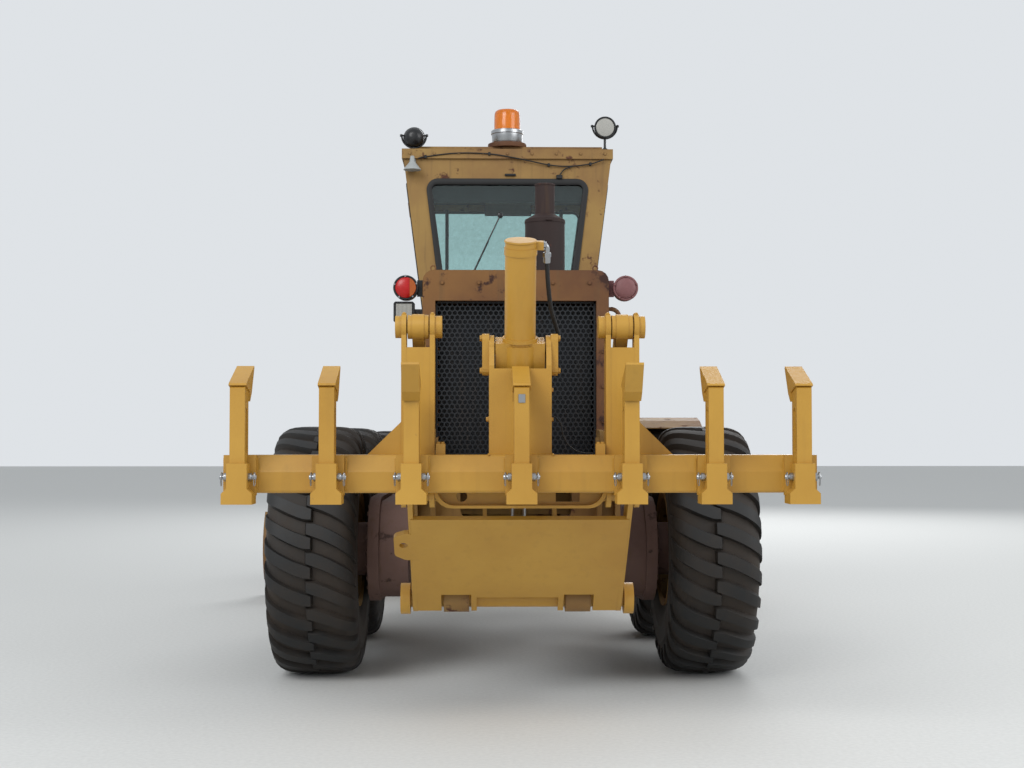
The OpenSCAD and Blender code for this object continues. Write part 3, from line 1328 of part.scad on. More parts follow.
module cab_lamps() {
    top = roof_z + 100;
    // beacon on its plate and socket at the back edge of the roof
    color("orange") translate([0, cab_rear + 140, top]) {
        cylinder(h = 32, r = 140);
        translate([0, 0, 31]) cylinder(h = 94, r = 100);
        translate([0, 0, 124]) cylinder(h = 156, r = 94);
    }
    // round work lamps on stalks at the roof's rear corners, each [x, height over the roof]
    color(dark) for (p = [[-roof_half + 75, 152], [roof_half - 45, 225]]) {
        translate([p[0], cab_rear - 5, roof_z + 70 + fit]) cylinder(h = p[1] - 100, r = 14);
        translate([p[0], cab_rear - 5, roof_z + p[1]]) rotate([90, 0, 0]) {
            cylinder(h = 76, r = 76, center = true);
            translate([0, 0, -70]) cylinder(h = 40, r1 = 40, r2 = 72);
        }
    }
    // small cone lamp under the left rear corner
    color(steel) translate([-roof_half + 65, cab_rear - 62, roof_z - 92]) {
        cylinder(h = 62, r1 = 62, r2 = 16);
        translate([0, 0, 60]) cylinder(h = 40, r = 14);
        block([-10, 0, 76], [10, 42 - fit, 96]);
    }
}

module head_lamps() {
    color("#d8d8d0") both_sides() {
        block([90, nose_y - 150, nose_low + 440 + fit], [330, nose_y - 60, nose_low + 560]);
    }
}

// Each node is drawn alone by the if lines
module wheel_tyre(side, y) { translate([side * wheel_x, y, axle_z]) tyre(); }
module wheel_rim(side, y) {
    translate([side * wheel_x, y, axle_z]) mirror([side < 0 ? 1 : 0, 0, 0]) rim();
}

rear_frame();
drive_axle();
tandem_cases();
hood();
rear_grille();
engine();
exhaust();
rear_lamps();
wheel_tyre(-1, rear_y);  // tyre_rear_left
wheel_rim(-1, rear_y);  // rim_rear_left
wheel_tyre(1, rear_y);  // tyre_rear_right
wheel_rim(1, rear_y);  // rim_rear_right
wheel_tyre(-1, mid_y);  // tyre_mid_left
wheel_rim(-1, mid_y);  // rim_mid_left
wheel_tyre(1, mid_y);  // tyre_mid_right
wheel_rim(1, mid_y);  // rim_mid_right
ripper_lower_link();
ripper_upper_links();
ripper_carriage();
ripper_shanks();
ripper_barrel();
ripper_rod();
front_frame();
beam_section(arch_y[0], arch_y[1]);  // frame_arch
beam_section(arch_y[1], nose_out + 9);  // frame_beam
push_block();
lift_saddle();
axle_bolster();
side_steps();
cab();
cab_glass();
seat();
controls();
cab_lamps();
head_lamps();
mirror([1, 0, 0]) door();  // door_left
mirror([1, 0, 0]) door_glass();  // door_glass_left
door();  // door_right
door_glass();  // door_glass_right
front_axle();
mirror([1, 0, 0]) lean_bracket(true);  // lean_bracket_left
lean_bracket(false);  // lean_bracket_right
lean_bar();
mirror([1, 0, 0]) knuckle(false);  // knuckle_left
knuckle(true);  // knuckle_right
tie_rod_end();
tie_rod();
wheel_tyre(-1, front_y);  // tyre_front_left
wheel_rim(-1, front_y);  // rim_front_left
wheel_tyre(1, front_y);  // tyre_front_right
wheel_rim(1, front_y);  // rim_front_right
drawbar();
drawbar_socket();
circle_ring();  // circle
moldboard();
cutting_edge();
mirror([1, 0, 0]) lift_barrel();  // lift_barrel_left
lift_barrel();  // lift_barrel_right
mirror([1, 0, 0]) lift_rod();  // lift_rod_left
lift_rod();  // lift_rod_right
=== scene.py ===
# %% [markdown]
# # A motor grader seen from behind
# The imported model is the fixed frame: every solid of the machine at its real size and place. This file
# dresses it: paint, rust, rubber and glass for the solids, and new surfaces for what the solids leave plain,
# such as the tyres' tread, the hose, bolts and seals. All lengths are metres, +X is right, +Y is forward and +Z
# is up.

# %% Load the frame
import json
import math
import bmesh
import bpy
import numpy as np
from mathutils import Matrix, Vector


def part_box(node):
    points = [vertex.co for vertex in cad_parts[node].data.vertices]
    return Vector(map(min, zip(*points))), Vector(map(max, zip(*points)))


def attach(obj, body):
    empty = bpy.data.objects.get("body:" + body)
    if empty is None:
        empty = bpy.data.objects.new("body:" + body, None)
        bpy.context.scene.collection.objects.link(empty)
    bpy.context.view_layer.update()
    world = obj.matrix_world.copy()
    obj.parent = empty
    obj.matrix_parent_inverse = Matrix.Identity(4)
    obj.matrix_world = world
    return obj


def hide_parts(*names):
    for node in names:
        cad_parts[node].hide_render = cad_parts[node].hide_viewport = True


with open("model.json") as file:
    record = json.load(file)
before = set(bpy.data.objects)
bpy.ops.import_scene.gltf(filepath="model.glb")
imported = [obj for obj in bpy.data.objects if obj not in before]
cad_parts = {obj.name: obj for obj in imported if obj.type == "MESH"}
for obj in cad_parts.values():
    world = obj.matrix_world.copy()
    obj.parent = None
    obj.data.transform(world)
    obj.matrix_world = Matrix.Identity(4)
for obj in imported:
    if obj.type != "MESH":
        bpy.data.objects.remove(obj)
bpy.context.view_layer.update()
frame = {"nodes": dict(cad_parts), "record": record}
nodes = frame["nodes"]
body_of = {name: body for body, names in frame["record"]["behaviour"]["bodies"].items() for name in names}

# %% [markdown]
# Colours are written as sRGB hex, the way a paint shop would quote them. Shaders work with linear light, so
# one function undoes the sRGB curve: below 0.04045 it is a straight line, and above it a power of 2.4.

# %% Hex colour to linear light
def linear(code):
    """Each channel c: c / 12.92 below 0.04045, else ((c + 0.055) / 1.055) to the power 2.4; alpha 1."""
    c = np.array([int(code[i:i + 2], 16) / 255 for i in (1, 3, 5)])
    c = np.where(c < 0.04045, c / 12.92, ((c + 0.055) / 1.055) ** 2.4)
    return (*c.tolist(), 1.0)

print("half-way grey #808080 is", round(linear("#808080")[0], 3), "in linear light")

# %% One function that adds a shader node
def add(tree, kind, inputs=None, **settings):
    """Adds a node, sets its attributes, and gives each named or numbered input a value or a link."""
    new = tree.nodes.new(kind)
    for key, value in settings.items():
        setattr(new, key, value)
    for key, value in (inputs or {}).items():
        if isinstance(value, bpy.types.NodeSocket):
            tree.links.new(value, new.inputs[key])
        else:
            new.inputs[key].default_value = value
    return new

def start_material(name, **shader):
    """A new material with a Principled shader whose plain values are set on its own sockets."""
    material = bpy.data.materials.new(name)
    material.use_nodes = True
    tree = material.node_tree
    principled = tree.nodes["Principled BSDF"]
    for key, value in shader.items():
        principled.inputs[key.replace("_", " ")].default_value = value
    place = add(tree, "ShaderNodeTexCoord").outputs["Object"]
    return material, tree, principled, place

def connect(tree, principled, colour, rough, bump):
    """Links a colour, a roughness and a bumped normal to the shader."""
    for output, socket in ((colour, "Base Color"), (rough, "Roughness"), (bump, "Normal")):
        tree.links.new(output, principled.inputs[socket])

# %% [markdown]
# ## Enamel on steel plate
# Construction machines are sprayed with a thick alkyd enamel. The ripper was repainted: an even ochre with a
# soft sheen. The rest has stood outside for years: the enamel has chalked, brown streaks run down from seams,
# and rust blooms where chips let water in. Both come from one recipe: a base colour that drifts slowly over
# about a metre, streaks from noise stretched along Z, and rust where a finer noise passes a threshold. The
# edges lose their paint first: the Bevel node rounds the normal within 4 mm of an edge, and where that rounded
# normal leaves the true one, there is an edge.

# %% The enamel recipe
def enamel(name, base, shade, rust, rust_share, streaks, roughness, edge_wear):
    """Base colour mixed with shade by 1.2-per-metre noise, then streaks, then rust past a threshold."""
    material, tree, principled, place = start_material(name, Metallic=0.0, IOR=1.5)
    drift = add(tree, "ShaderNodeTexNoise", {"Vector": place, "Scale": 1.2, "Detail": 5.0, "Roughness": 0.6})
    drift_mask = add(tree, "ShaderNodeMapRange", {"Value": drift.outputs["Fac"], "From Min": 0.35, "From Max": 0.65})
    coat = add(tree, "ShaderNodeMix", {0: drift_mask.outputs[0], 6: linear(base), 7: linear(shade)}, data_type="RGBA")
    # streaks: the pattern is 25 per metre sideways and 1.6 per metre in height
    drawn = add(tree, "ShaderNodeMapping", {"Vector": place, "Scale": (25.0, 25.0, 1.6)})
    streak = add(tree, "ShaderNodeTexNoise", {"Vector": drawn.outputs[0], "Scale": 1.0, "Detail": 4.0})
    streak_mask = add(tree, "ShaderNodeMapRange", {"Value": streak.outputs["Fac"], "From Min": 0.55, "From Max": 0.8,
                                                   "To Max": streaks})
    streaked = add(tree, "ShaderNodeMix", {0: streak_mask.outputs[0], 6: coat.outputs[2], 7: linear("#5d4526")},
                   data_type="RGBA")
    # rust: blooms some 60 mm across whose rims are broken by finer noise
    bloom = add(tree, "ShaderNodeTexNoise", {"Vector": place, "Scale": 9.0, "Detail": 9.0, "Roughness": 0.68})
    bloom_mask = add(tree, "ShaderNodeMapRange", {"Value": bloom.outputs["Fac"], "From Min": 0.66 - rust_share,
                                                  "From Max": 0.72 - rust_share})
    # worn edges: one minus the dot product of the rounded and the true normal
    rounded = add(tree, "ShaderNodeBevel", {"Radius": 0.004}, samples=4)
    true = add(tree, "ShaderNodeNewGeometry")
    along = add(tree, "ShaderNodeVectorMath", {0: rounded.outputs[0], 1: true.outputs["Normal"]},
                operation="DOT_PRODUCT")
    edge = add(tree, "ShaderNodeMapRange", {"Value": along.outputs["Value"], "From Min": 0.97, "From Max": 0.85,
                                            "To Max": edge_wear})
    broken = add(tree, "ShaderNodeMath", {0: edge.outputs[0], 1: streak.outputs["Fac"]}, operation="MULTIPLY")
    bare = add(tree, "ShaderNodeMath", {0: bloom_mask.outputs[0], 1: broken.outputs[0]}, operation="MAXIMUM")
    colour = add(tree, "ShaderNodeMix", {0: bare.outputs[0], 6: streaked.outputs[2], 7: linear(rust)},
                 data_type="RGBA")
    rough = add(tree, "ShaderNodeMapRange", {"Value": bare.outputs[0], "To Min": roughness, "To Max": 0.85})
    # orange peel of sprayed enamel: 2 mm grains in life, drawn 6 mm across so that they show
    peel = add(tree, "ShaderNodeTexNoise", {"Vector": place, "Scale": 160.0, "Detail": 2.0})
    relief = add(tree, "ShaderNodeMath", {0: peel.outputs["Fac"], 1: bare.outputs[0]}, operation="ADD")
    bump = add(tree, "ShaderNodeBump", {"Height": relief.outputs[0], "Strength": 0.25, "Distance": 0.0015})
    connect(tree, principled, colour.outputs[2], rough.outputs[0], bump.outputs[0])
    return material

# Each line: name, base, shade, rust, rust share, streaks, roughness, edge wear. To the eye the fresh coat is
# even with a soft sheen, the weathered one chalky and streaked, and the rusted one brown where the engine bakes
# it. The tandem cases are purple-brown under dust and painted sunlight, the grille blue-black, and the exhaust dull
# brown scale.
fresh_enamel = enamel("repainted ochre enamel", "#bd9138", "#ae812d", "#7a5a30", -0.03, 0.12, 0.42, 0.5)
old_enamel = enamel("weathered ochre enamel", "#96763c", "#74502a", "#4f2d1c", 0.07, 0.6, 0.6, 1.0)
old_enamel_dark = enamel("rusted ochre enamel", "#7a5326", "#4a2516", "#371e15", 0.09, 0.7, 0.68, 1.0)
# tandem cases: greyish dust over the paint, and the colour painted lighter as if sunlit
case_dust_and_sunlight = enamel("tandem case dust and painted sunlight", "#755b52", "#5c443d", "#43302a", 0.05, 0.5, 0.8, 0.6)
dark_enamel = enamel("blue-black enamel", "#0f171f", "#0a1017", "#1c1817", 0.02, 0.15, 0.55, 0.3)
heat_brown = enamel("heat-browned steel", "#2c1915", "#20120f", "#4a2a20", 0.05, 0.4, 0.75, 0.4)
print("enamels made: 6")

# %% [markdown]
# ## Rubber
# Tyre rubber is black with carbon and nearly matt. What the eye sees on a machine in a yard is the dust on it:
# it stays in the grooves and blows off the outside, so the dust follows a depth mark that each tyre point
# carries. Hoses and seals are the same rubber with hardly any dust.

# %% Tyre rubber with road dust
def rubber(name, base, dust, dust_share):
    """Black rubber, dusty where a 3-per-metre noise passes a threshold and where the depth mark is near 1."""
    material, tree, principled, place = start_material(name, IOR=1.52)
    cloud = add(tree, "ShaderNodeTexNoise", {"Vector": place, "Scale": 3.0, "Detail": 8.0, "Roughness": 0.65})
    depth = add(tree, "ShaderNodeAttribute", attribute_name="depth")
    low = add(tree, "ShaderNodeMath", {0: depth.outputs["Fac"], 1: 0.22, 2: cloud.outputs["Fac"]},
              operation="MULTIPLY_ADD")
    mask = add(tree, "ShaderNodeMapRange", {"Value": low.outputs[0], "From Min": 0.42, "From Max": 0.78,
                                            "To Max": dust_share})
    colour = add(tree, "ShaderNodeMix", {0: mask.outputs[0], 6: linear(base), 7: linear(dust)}, data_type="RGBA")
    rough = add(tree, "ShaderNodeMapRange", {"Value": mask.outputs[0], "To Min": 0.62, "To Max": 0.95})
    grain = add(tree, "ShaderNodeTexNoise", {"Vector": place, "Scale": 300.0, "Detail": 3.0})
    bump = add(tree, "ShaderNodeBump", {"Height": grain.outputs["Fac"], "Strength": 0.3, "Distance": 0.001})
    connect(tree, principled, colour.outputs[2], rough.outputs[0], bump.outputs[0])
    return material

tyre_rubber = rubber("dusty tyre rubber", "#151515", "#463a2f", 0.5)
black_rubber = rubber("clean black rubber", "#0c0c0d", "#201e1d", 0.2)
print("rubbers made: 2")

# %% [markdown]
# ## Steel, glass and plastics
# These are even materials: plated steel gives hard, bright glints, moulded lenses are smooth and deep in
# colour, vinyl is dull with a soft grain, and safety glass has a blue-green cast. One recipe serves them all,
# because they differ only in colour, gloss, metal and how much light passes through.

# %% Steel, glass and plastics
def plain(name, base, roughness, metallic=0.0, grain=0.0, **shader):
    """One colour with a little 40-per-metre variation in roughness, and a faint grain in the normal."""
    material, tree, principled, place = start_material(name, **shader)
    principled.inputs["Metallic"].default_value = metallic
    cloud = add(tree, "ShaderNodeTexNoise", {"Vector": place, "Scale": 40.0, "Detail": 4.0})
    rough = add(tree, "ShaderNodeMapRange", {"Value": cloud.outputs["Fac"], "To Min": roughness * 0.7,
                                             "To Max": min(1.0, roughness * 1.3)})
    tint = add(tree, "ShaderNodeMix", {0: cloud.outputs["Fac"], 6: linear(base),
                                       7: tuple(0.82 * c for c in linear(base)[:3]) + (1.0,)}, data_type="RGBA")
    bump = add(tree, "ShaderNodeBump", {"Height": cloud.outputs["Fac"], "Strength": grain, "Distance": 0.001})
    connect(tree, principled, tint.outputs[2], rough.outputs[0], bump.outputs[0])
    return material

bright_steel = plain("ground and plated steel", "#a9abad", 0.32, 1.0, 0.1)
seat_vinyl = plain("black seat vinyl", "#191a1c", 0.55, 0.0, 0.3)
lamp_red = plain("red lamp lens", "#b50806", 0.3)
tired_red = plain("faded red lamp", "#7c5051", 0.6, 0.0, 0.3)
beacon_orange = plain("orange beacon lens", "#f98a12", 0.15, Transmission_Weight=0.45)
amber_lens = plain("amber lamp lens", "#a8500c", 0.35)
black_gloss = plain("black gloss paint", "#111214", 0.35)
pale_enamel = plain("grey-white lamp enamel", "#a3a7a6", 0.45)
lamp_clear = plain("clear lamp lens", "#a9a8a2", 0.15)
window_glass = plain("blue-green safety glass", "#d2eae8", 0.02, Transmission_Weight=1.0, IOR=1.5)
print("even materials made: 10")

# %% [markdown]
# ## Finishes on the solids
# The record names a slot for each solid, such as old_yellow. One table turns slots into finishes, so that every
# solid gets its own paint in one loop. The hood is rustier than the rest, because the engine's heat bakes it.

# %% Give every solid its finish
finish_of_slot = {"old_yellow": old_enamel, "fresh_yellow": fresh_enamel, "dark_metal": dark_enamel,
                  "rusty_case": case_dust_and_sunlight, "exhaust_brown": heat_brown, "tyre": tyre_rubber,
                  "bright_steel": bright_steel, "window": window_glass, "seat_black": seat_vinyl,
                  "lamp_red": lamp_red, "beacon_orange": beacon_orange, "lamp_clear": lamp_clear}
slot_of = {part["node"]: part["material_slot"] for part in frame["record"]["subparts"]}
for name, solid in nodes.items():
    solid.data.materials.clear()
    solid.data.materials.append(finish_of_slot[slot_of[name]])
nodes["hood"].data.materials[0] = old_enamel_dark
print("finishes given:", len(nodes))

# %% [markdown]
# ## Tools for new surfaces
# Real parts come from a few processes: rolled and cut plate, bar and tube, turned parts, moulded rubber. The
# tools below follow them: a chamfered block for cut plate, a revolve for turned parts, a sweep for tube, hose
# and wire, and a hexagonal head for bolts. Each gives points and faces as arrays, so that a piece of many
# thousand faces is joined in one step.

# %% Points and faces
def joined(parts):
    """Joins parts, each (points, [face arrays]), into one part."""
    points, faces, base = [], [], 0
    for p, groups in parts:
        points.append(np.asarray(p, float))
        faces += [np.asarray(f) + base for f in groups]
        base += len(p)
    return np.concatenate(points), faces

def moved(part, turn=None, to=(0, 0, 0)):
    """The part turned by a 3 x 3 matrix and then moved."""
    points = part[0] if turn is None else part[0] @ np.asarray(turn).T
    return points + np.asarray(to), part[1]

def grid(rows, cols, wrap_rows=False, wrap_cols=False):
    """Corner numbers of the quads of a rows x cols grid, whose point (r, c) has number r * cols + c."""
    r = np.arange(rows if wrap_rows else rows - 1)[:, None]
    c = np.arange(cols if wrap_cols else cols - 1)[None, :]
    r1, c1 = (r + 1) % rows, (c + 1) % cols
    return np.stack([r * cols + c, r * cols + c1, r1 * cols + c1, r1 * cols + c], -1).reshape(-1, 4)

def turn_to(direction):
    """A rotation whose third column is the unit direction: it takes +Z there."""
    z = np.asarray(direction, float)
    z = z / np.linalg.norm(z)
    x = np.cross((0, 1, 0) if abs(z[1]) < 0.9 else (1, 0, 0), z)
    x /= np.linalg.norm(x)
    return np.stack([x, np.cross(z, x), z], 1)

print("a grid of 3 x 4 points has", len(grid(3, 4)), "quads")

# %% Turned parts, tubes and curves
def stacked(rings, count):
    """Faces over rings of count points laid one after another, with a flat face at each end."""
    ends = np.arange(count)
    return [grid(rings, count, wrap_cols=True), ends[None, ::-1], ends[None, :] + (rings - 1) * count]

def revolved(profile, sides, at=(0, 0, 0), axis=(0, 0, 1), closed=False):
    """Turns (radius, height) points about an axis: a point at radius r goes round (r cos a, r sin a). An open
    profile is closed by flat ends."""
    profile = np.asarray(profile, float)
    a = np.arange(sides) * 2 * np.pi / sides
    r, h = profile[:, 0][:, None], profile[:, 1][:, None]
    points = np.stack([r * np.cos(a), r * np.sin(a), h + 0 * a], -1).reshape(-1, 3)
    rows = len(profile)
    faces = [grid(rows, sides, wrap_rows=True, wrap_cols=True)] if closed else stacked(rows, sides)
    return moved((points, faces), turn_to(axis), at)

def swept(path, radius, sides=10):
    """A round tube along a path. Its frame is carried from point to point without twist: at each point the part
    of the sideways direction that looks ahead is taken away."""
    path = np.asarray(path, float)
    ahead = np.roll(path, -1, 0) - np.roll(path, 1, 0)
    ahead[0], ahead[-1] = path[1] - path[0], path[-1] - path[-2]
    ahead /= np.linalg.norm(ahead, axis=1)[:, None]
    across = turn_to(ahead[0])[:, 0]
    a = np.arange(sides) * 2 * np.pi / sides
    rings = []
    for p, t in zip(path, ahead):
        across = across - t * (across @ t)
        across /= np.linalg.norm(across)
        rings.append(p + radius * (np.cos(a)[:, None] * across + np.sin(a)[:, None] * np.cross(t, across)))
    return np.concatenate(rings), stacked(len(path), sides)

def smooth_path(points, steps=8):
    """A Catmull-Rom curve through the points: between b and c it starts along c - a and ends along d - b."""
    p = np.asarray(points, float)
    line = np.concatenate([2 * p[:1] - p[1:2], p, 2 * p[-1:] - p[-2:-1]])
    t = np.arange(steps)[:, None] / steps
    out = []
    for a, b, c, d in zip(line[:-3], line[1:-2], line[2:-1], line[3:]):
        bend, twist = 2 * a - 5 * b + 4 * c - d, 3 * b - a - 3 * c + d
        out.append(0.5 * (2 * b + (c - a) * t + bend * t ** 2 + twist * t ** 3))
    return np.concatenate(out + [p[-1:]])

print("four points make a curve of", len(smooth_path([(0, 0, 0), (1, 0, 0), (1, 1, 0), (2, 1, 0)])))

# %% Flat and chamfered plate, bolts
def block(low, high, edge=0.002):
    """A box with every edge cut off at 45 degrees. Each of its 8 corners becomes three points, one on each face
    it touches: point c + 8 k is corner c on a face square to axis k. A corner's number adds 4, 2 and 1 for the
    high side along X, Y and Z."""
    low, high = np.minimum(low, high), np.maximum(low, high)
    half, middle = (high - low) / 2, (high + low) / 2
    edge = min(edge, 0.49 * half.min())
    signs = np.array([(x, y, z) for x in (-1, 1) for y in (-1, 1) for z in (-1, 1)], float)
    points = np.concatenate([signs * (half - edge * (1 - np.eye(3)[k])) for k in range(3)]) + middle
    quads, corners = [], [[c, c + 8, c + 16] for c in range(8)]
    for k in range(3):
        u, v = (k + 1) % 3, (k + 2) % 3
        step, step_u, step_v = (4, 2, 1)[k], (4, 2, 1)[u], (4, 2, 1)[v]
        quads += [[8 * k + c for c in (s, s + step_u, s + step_u + step_v, s + step_v)] for s in (0, step)]
        quads += [[c + 8 * u, c + step + 8 * u, c + step + 8 * v, c + 8 * v]
                  for c in (0, step_v, step_u, step_u + step_v)]
    return points, [np.array(quads), np.array(corners)]

def plate(outline, axis, low, high):
    """A flat plate: the outline, drawn in the other two axes in their order, extruded along an axis."""
    outline = np.asarray(outline, float)
    n = len(outline)
    flat = [i for i in range(3) if i != axis]
    points = np.zeros((2 * n, 3))
    points[:n, flat], points[n:, flat] = outline, outline
    points[:n, axis], points[n:, axis] = low, high
    return points, stacked(2, n)

def bolt_head(across=0.030, height=0.012):
    """A hexagonal head with a washer; across is the size over its flats. Stands on z = 0 and points to +Z."""
    r = across / math.sqrt(3)
    washer = revolved([(r * 1.25, -0.001), (r * 1.25, 0.0025), (r * 1.1, 0.003)], 16)
    head = revolved([(r, 0.002), (r, height * 0.85), (r * 0.88, height)], 6)
    return joined([washer, head])

def bolts(places, direction, across=0.030, height=0.012):
    """Bolt heads at several places that all point the same way."""
    head = bolt_head(across, height)
    return joined([moved(head, turn_to(direction), p) for p in places])

print("bolt head triangles:", sum(int((f.shape[1] - 2) * len(f)) for f in bolt_head()[1]))

# %% [markdown]
# ## From arrays to an object
# Blender reads whole arrays with foreach_set, which is thousands of times faster than adding faces one by one.
# Each piece then gets its normals turned outwards, smooth shading that breaks at real edges, a finish, and the
# body of the machine that it rides on.

# %% A piece of the scene
pieces_made = {}

def piece(name, parts, finish, body, replaces=(), sharp=35, tidy=True, marks=None):
    """Makes one object from parts, faces outward, smooth up to the sharp angle, riding on a body. marks gives
    each point a depth between 0 on the outside and 1 in the grooves, which the rubber's dust reads."""
    points, faces = joined(parts)
    mesh = bpy.data.meshes.new(name)
    mesh.vertices.add(len(points))
    mesh.vertices.foreach_set("co", points.astype(np.float32).ravel())
    totals = np.concatenate([np.full(len(f), f.shape[1]) for f in faces])
    corners = np.concatenate([f.ravel() for f in faces])
    mesh.loops.add(len(corners))
    mesh.loops.foreach_set("vertex_index", corners.astype(np.int32))
    mesh.polygons.add(len(totals))
    mesh.polygons.foreach_set("loop_start", np.concatenate([[0], np.cumsum(totals)[:-1]]).astype(np.int32))
    mesh.polygons.foreach_set("loop_total", totals.astype(np.int32))
    mesh.update(calc_edges=True)
    if marks is not None:
        mesh.attributes.new("depth", "FLOAT", "POINT").data.foreach_set("value", np.asarray(marks, np.float32))
    if tidy:
        work = bmesh.new()
        work.from_mesh(mesh)
        bmesh.ops.recalc_face_normals(work, faces=work.faces)
        work.to_mesh(mesh)
        work.free()
    mesh.polygons.foreach_set("use_smooth", np.ones(len(mesh.polygons), bool))
    mesh.set_sharp_from_angle(angle=math.radians(sharp))
    made = bpy.data.objects.new(name, mesh)
    bpy.context.scene.collection.objects.link(made)
    mesh.materials.append(finish)
    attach(made, body)
    if replaces:
        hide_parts(*replaces)
    pieces_made[name] = int((totals - 2).sum())
    return made

def corners_of(node):
    """Lowest and highest corner of a solid, as arrays."""
    low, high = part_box(node)
    return np.array(low), np.array(high)

# %% [markdown]
# ## Tyres
# A wide loader-type tyre: a cord casing with 28 deep bars on each side of the middle. A bar starts level at the
# middle, bends down towards the shoulder and runs out on the side wall. The pattern is the same upside down, so
# that the tyre can run either way, and the two halves are half a step apart. Each bar is made from its
# centre line along the crown, with a chamfered top, drafted sides and its foot inside the casing. Dust lies
# between the bars, so each point also stores how deep it lies.

# %% The casing and one bar
tyre_low, tyre_high = corners_of("tyre_rear_right")
tyre_r = (tyre_high[2] - tyre_low[2]) / 2
bar_count, casing_columns = 28, 112
# (radius, sideways, depth mark) from the bead out, over the side wall to the middle of the tread
wall = np.array([
    (0.318, 0.203, 0.4), (0.330, 0.214, 0.5), (0.352, 0.222, 0.5), (0.364, 0.221, 0.5), (0.380, 0.232, 0.6),
    (0.430, 0.248, 0.6), (0.470, 0.255, 0.6), (0.478, 0.2575, 0.3), (0.486, 0.2555, 0.6), (0.520, 0.2580, 0.6),
    (0.560, 0.2570, 0.6), (0.568, 0.2590, 0.3), (0.576, 0.2560, 0.6), (0.610, 0.2500, 0.7), (0.640, 0.2430, 0.9),
    (0.668, 0.2290, 1.0), (0.690, 0.2060, 1.0), (0.702, 0.1700, 1.0), (0.709, 0.1000, 1.0), (0.711, 0.0, 1.0)])
lining = np.array([(0.669, 0.0, 1.0), (0.660, 0.130, 1.0), (0.600, 0.190, 1.0), (0.480, 0.212, 1.0),
                   (0.360, 0.176, 1.0), (0.318, 0.158, 1.0)])
section = np.concatenate([wall, (wall * (1, -1, 1))[-2::-1], (lining * (1, -1, 1))[::-1], lining[1:]])

# top and foot of a bar as (radius, sideways), from its head just past the middle to its end on the side wall
crest = np.array([(0.7445, -0.012), (0.745, 0.030), (0.7445, 0.075), (0.743, 0.120), (0.739, 0.160), (0.731, 0.193),
                  (0.716, 0.222), (0.694, 0.243), (0.664, 0.254), (0.632, 0.2585), (0.604, 0.2580)])
foot = np.array([(0.700, -0.012), (0.700, 0.030), (0.700, 0.075), (0.698, 0.120), (0.692, 0.160), (0.683, 0.190),
                 (0.668, 0.212), (0.650, 0.228), (0.628, 0.240), (0.606, 0.246), (0.592, 0.246)])

print("casing section:", len(section), "points, bar rows:", len(crest))

# %% One bar of the tread
def tread_bar():
    """Points of one bar as (radius, angle, sideways, mark). Its middle drops by 0.19 m * (l / 0.36) ** 1.45."""
    l = np.concatenate([[0], np.cumsum(np.linalg.norm(np.diff(crest, axis=0), axis=1))])
    drop = 0.19 * (l / 0.36) ** 1.45
    half = np.interp(l, [0, 0.03, 0.25, 0.36], [0.034, 0.041, 0.041, 0.030])
    out = []
    # across the bar: foot, drafted side, chamfer, top, and down again, as (share of its half width, depth)
    for share, depth in ((-1.16, 1.0), (-1.0, 0.22), (-0.9, 0.0), (-0.3, 0.0),
                         (0.3, 0.0), (0.9, 0.0), (1.0, 0.22), (1.16, 1.0)):
        place = crest + (foot - crest) * depth
        out.append(np.stack([place[:, 0], (drop + share * half) / tyre_r, place[:, 1], np.full(len(l), depth)], 1))
    bar = np.stack(out, 1)
    # one more row closes the inner end with a slope down to the casing
    head = bar[:1].copy()
    head[..., 2] -= 0.014
    head[..., 0] = foot[0, 0]
    head[..., 3] = 1.0
    bar = np.concatenate([head, bar])
    return bar.reshape(-1, 4), grid(len(bar), 8, wrap_cols=True), len(bar)

print("points of a bar:", len(tread_bar()[0]))

# %% A whole tyre
def tyre(name, centre):
    """Casing and bars of one tyre about the X axis through centre: radius r at angle a and s to the side is the
    point (s, r sin a, -r cos a). The left half's bars are the right half's with s and a reversed, half a bar on."""
    a = np.arange(casing_columns) * 2 * np.pi / casing_columns
    r, s = section[:, 0][:, None], section[:, 1][:, None]
    casing = np.stack([s + 0 * a, r * np.sin(a), -r * np.cos(a)], -1).reshape(-1, 3)
    parts = [(casing, [grid(len(section), casing_columns, wrap_rows=True, wrap_cols=True)])]
    marks = [np.repeat(section[:, 2], casing_columns)]
    bar, quads, rows = tread_bar()
    ends = np.array([range(8), [(rows - 1) * 8 + k for k in range(8)]])
    turns = (np.arange(bar_count) * 2 * np.pi / bar_count)[:, None]
    for way, offset in ((1, 0.0), (-1, 0.5)):
        angle = way * bar[:, 1] + turns + offset * 2 * np.pi / bar_count
        points = np.stack([way * bar[:, 2] + 0 * angle, bar[:, 0] * np.sin(angle), -bar[:, 0] * np.cos(angle)], -1)
        step = (np.arange(bar_count) * len(bar))[:, None, None]
        parts.append((points.reshape(-1, 3), [(quads + step).reshape(-1, 4), (ends + step).reshape(-1, 8)]))
        marks.append(np.tile(bar[:, 3], bar_count))
    piece("tread_" + name, [moved(p, to=centre) for p in parts], tyre_rubber, body_of[name], [name], sharp=40,
          marks=np.concatenate(marks))

wheels = [n for n in nodes if n.startswith("tyre_")]
centre_of = {n: sum(corners_of(n)) / 2 for n in wheels}
for n in wheels:
    tyre(n, centre_of[n])
print("tyres:", len(wheels), "triangles each:", pieces_made["tread_" + wheels[0]])

# %% [markdown]
# ## Wheel nuts and hubs
# The dished disc is clamped by ten nuts on studs, tapped up tight over washers, and a cover plate with eight
# bolts closes the hub. The nuts lean with the disc, 24 degrees in from the axle.

# %% Nuts, hub cover, valve
nut_circle, hub_bolt_circle, hub_out = 0.232, 0.112, 0.070
disc_lean = math.atan2(36, 80)  # the disc runs 36 mm inwards over 80 mm of radius

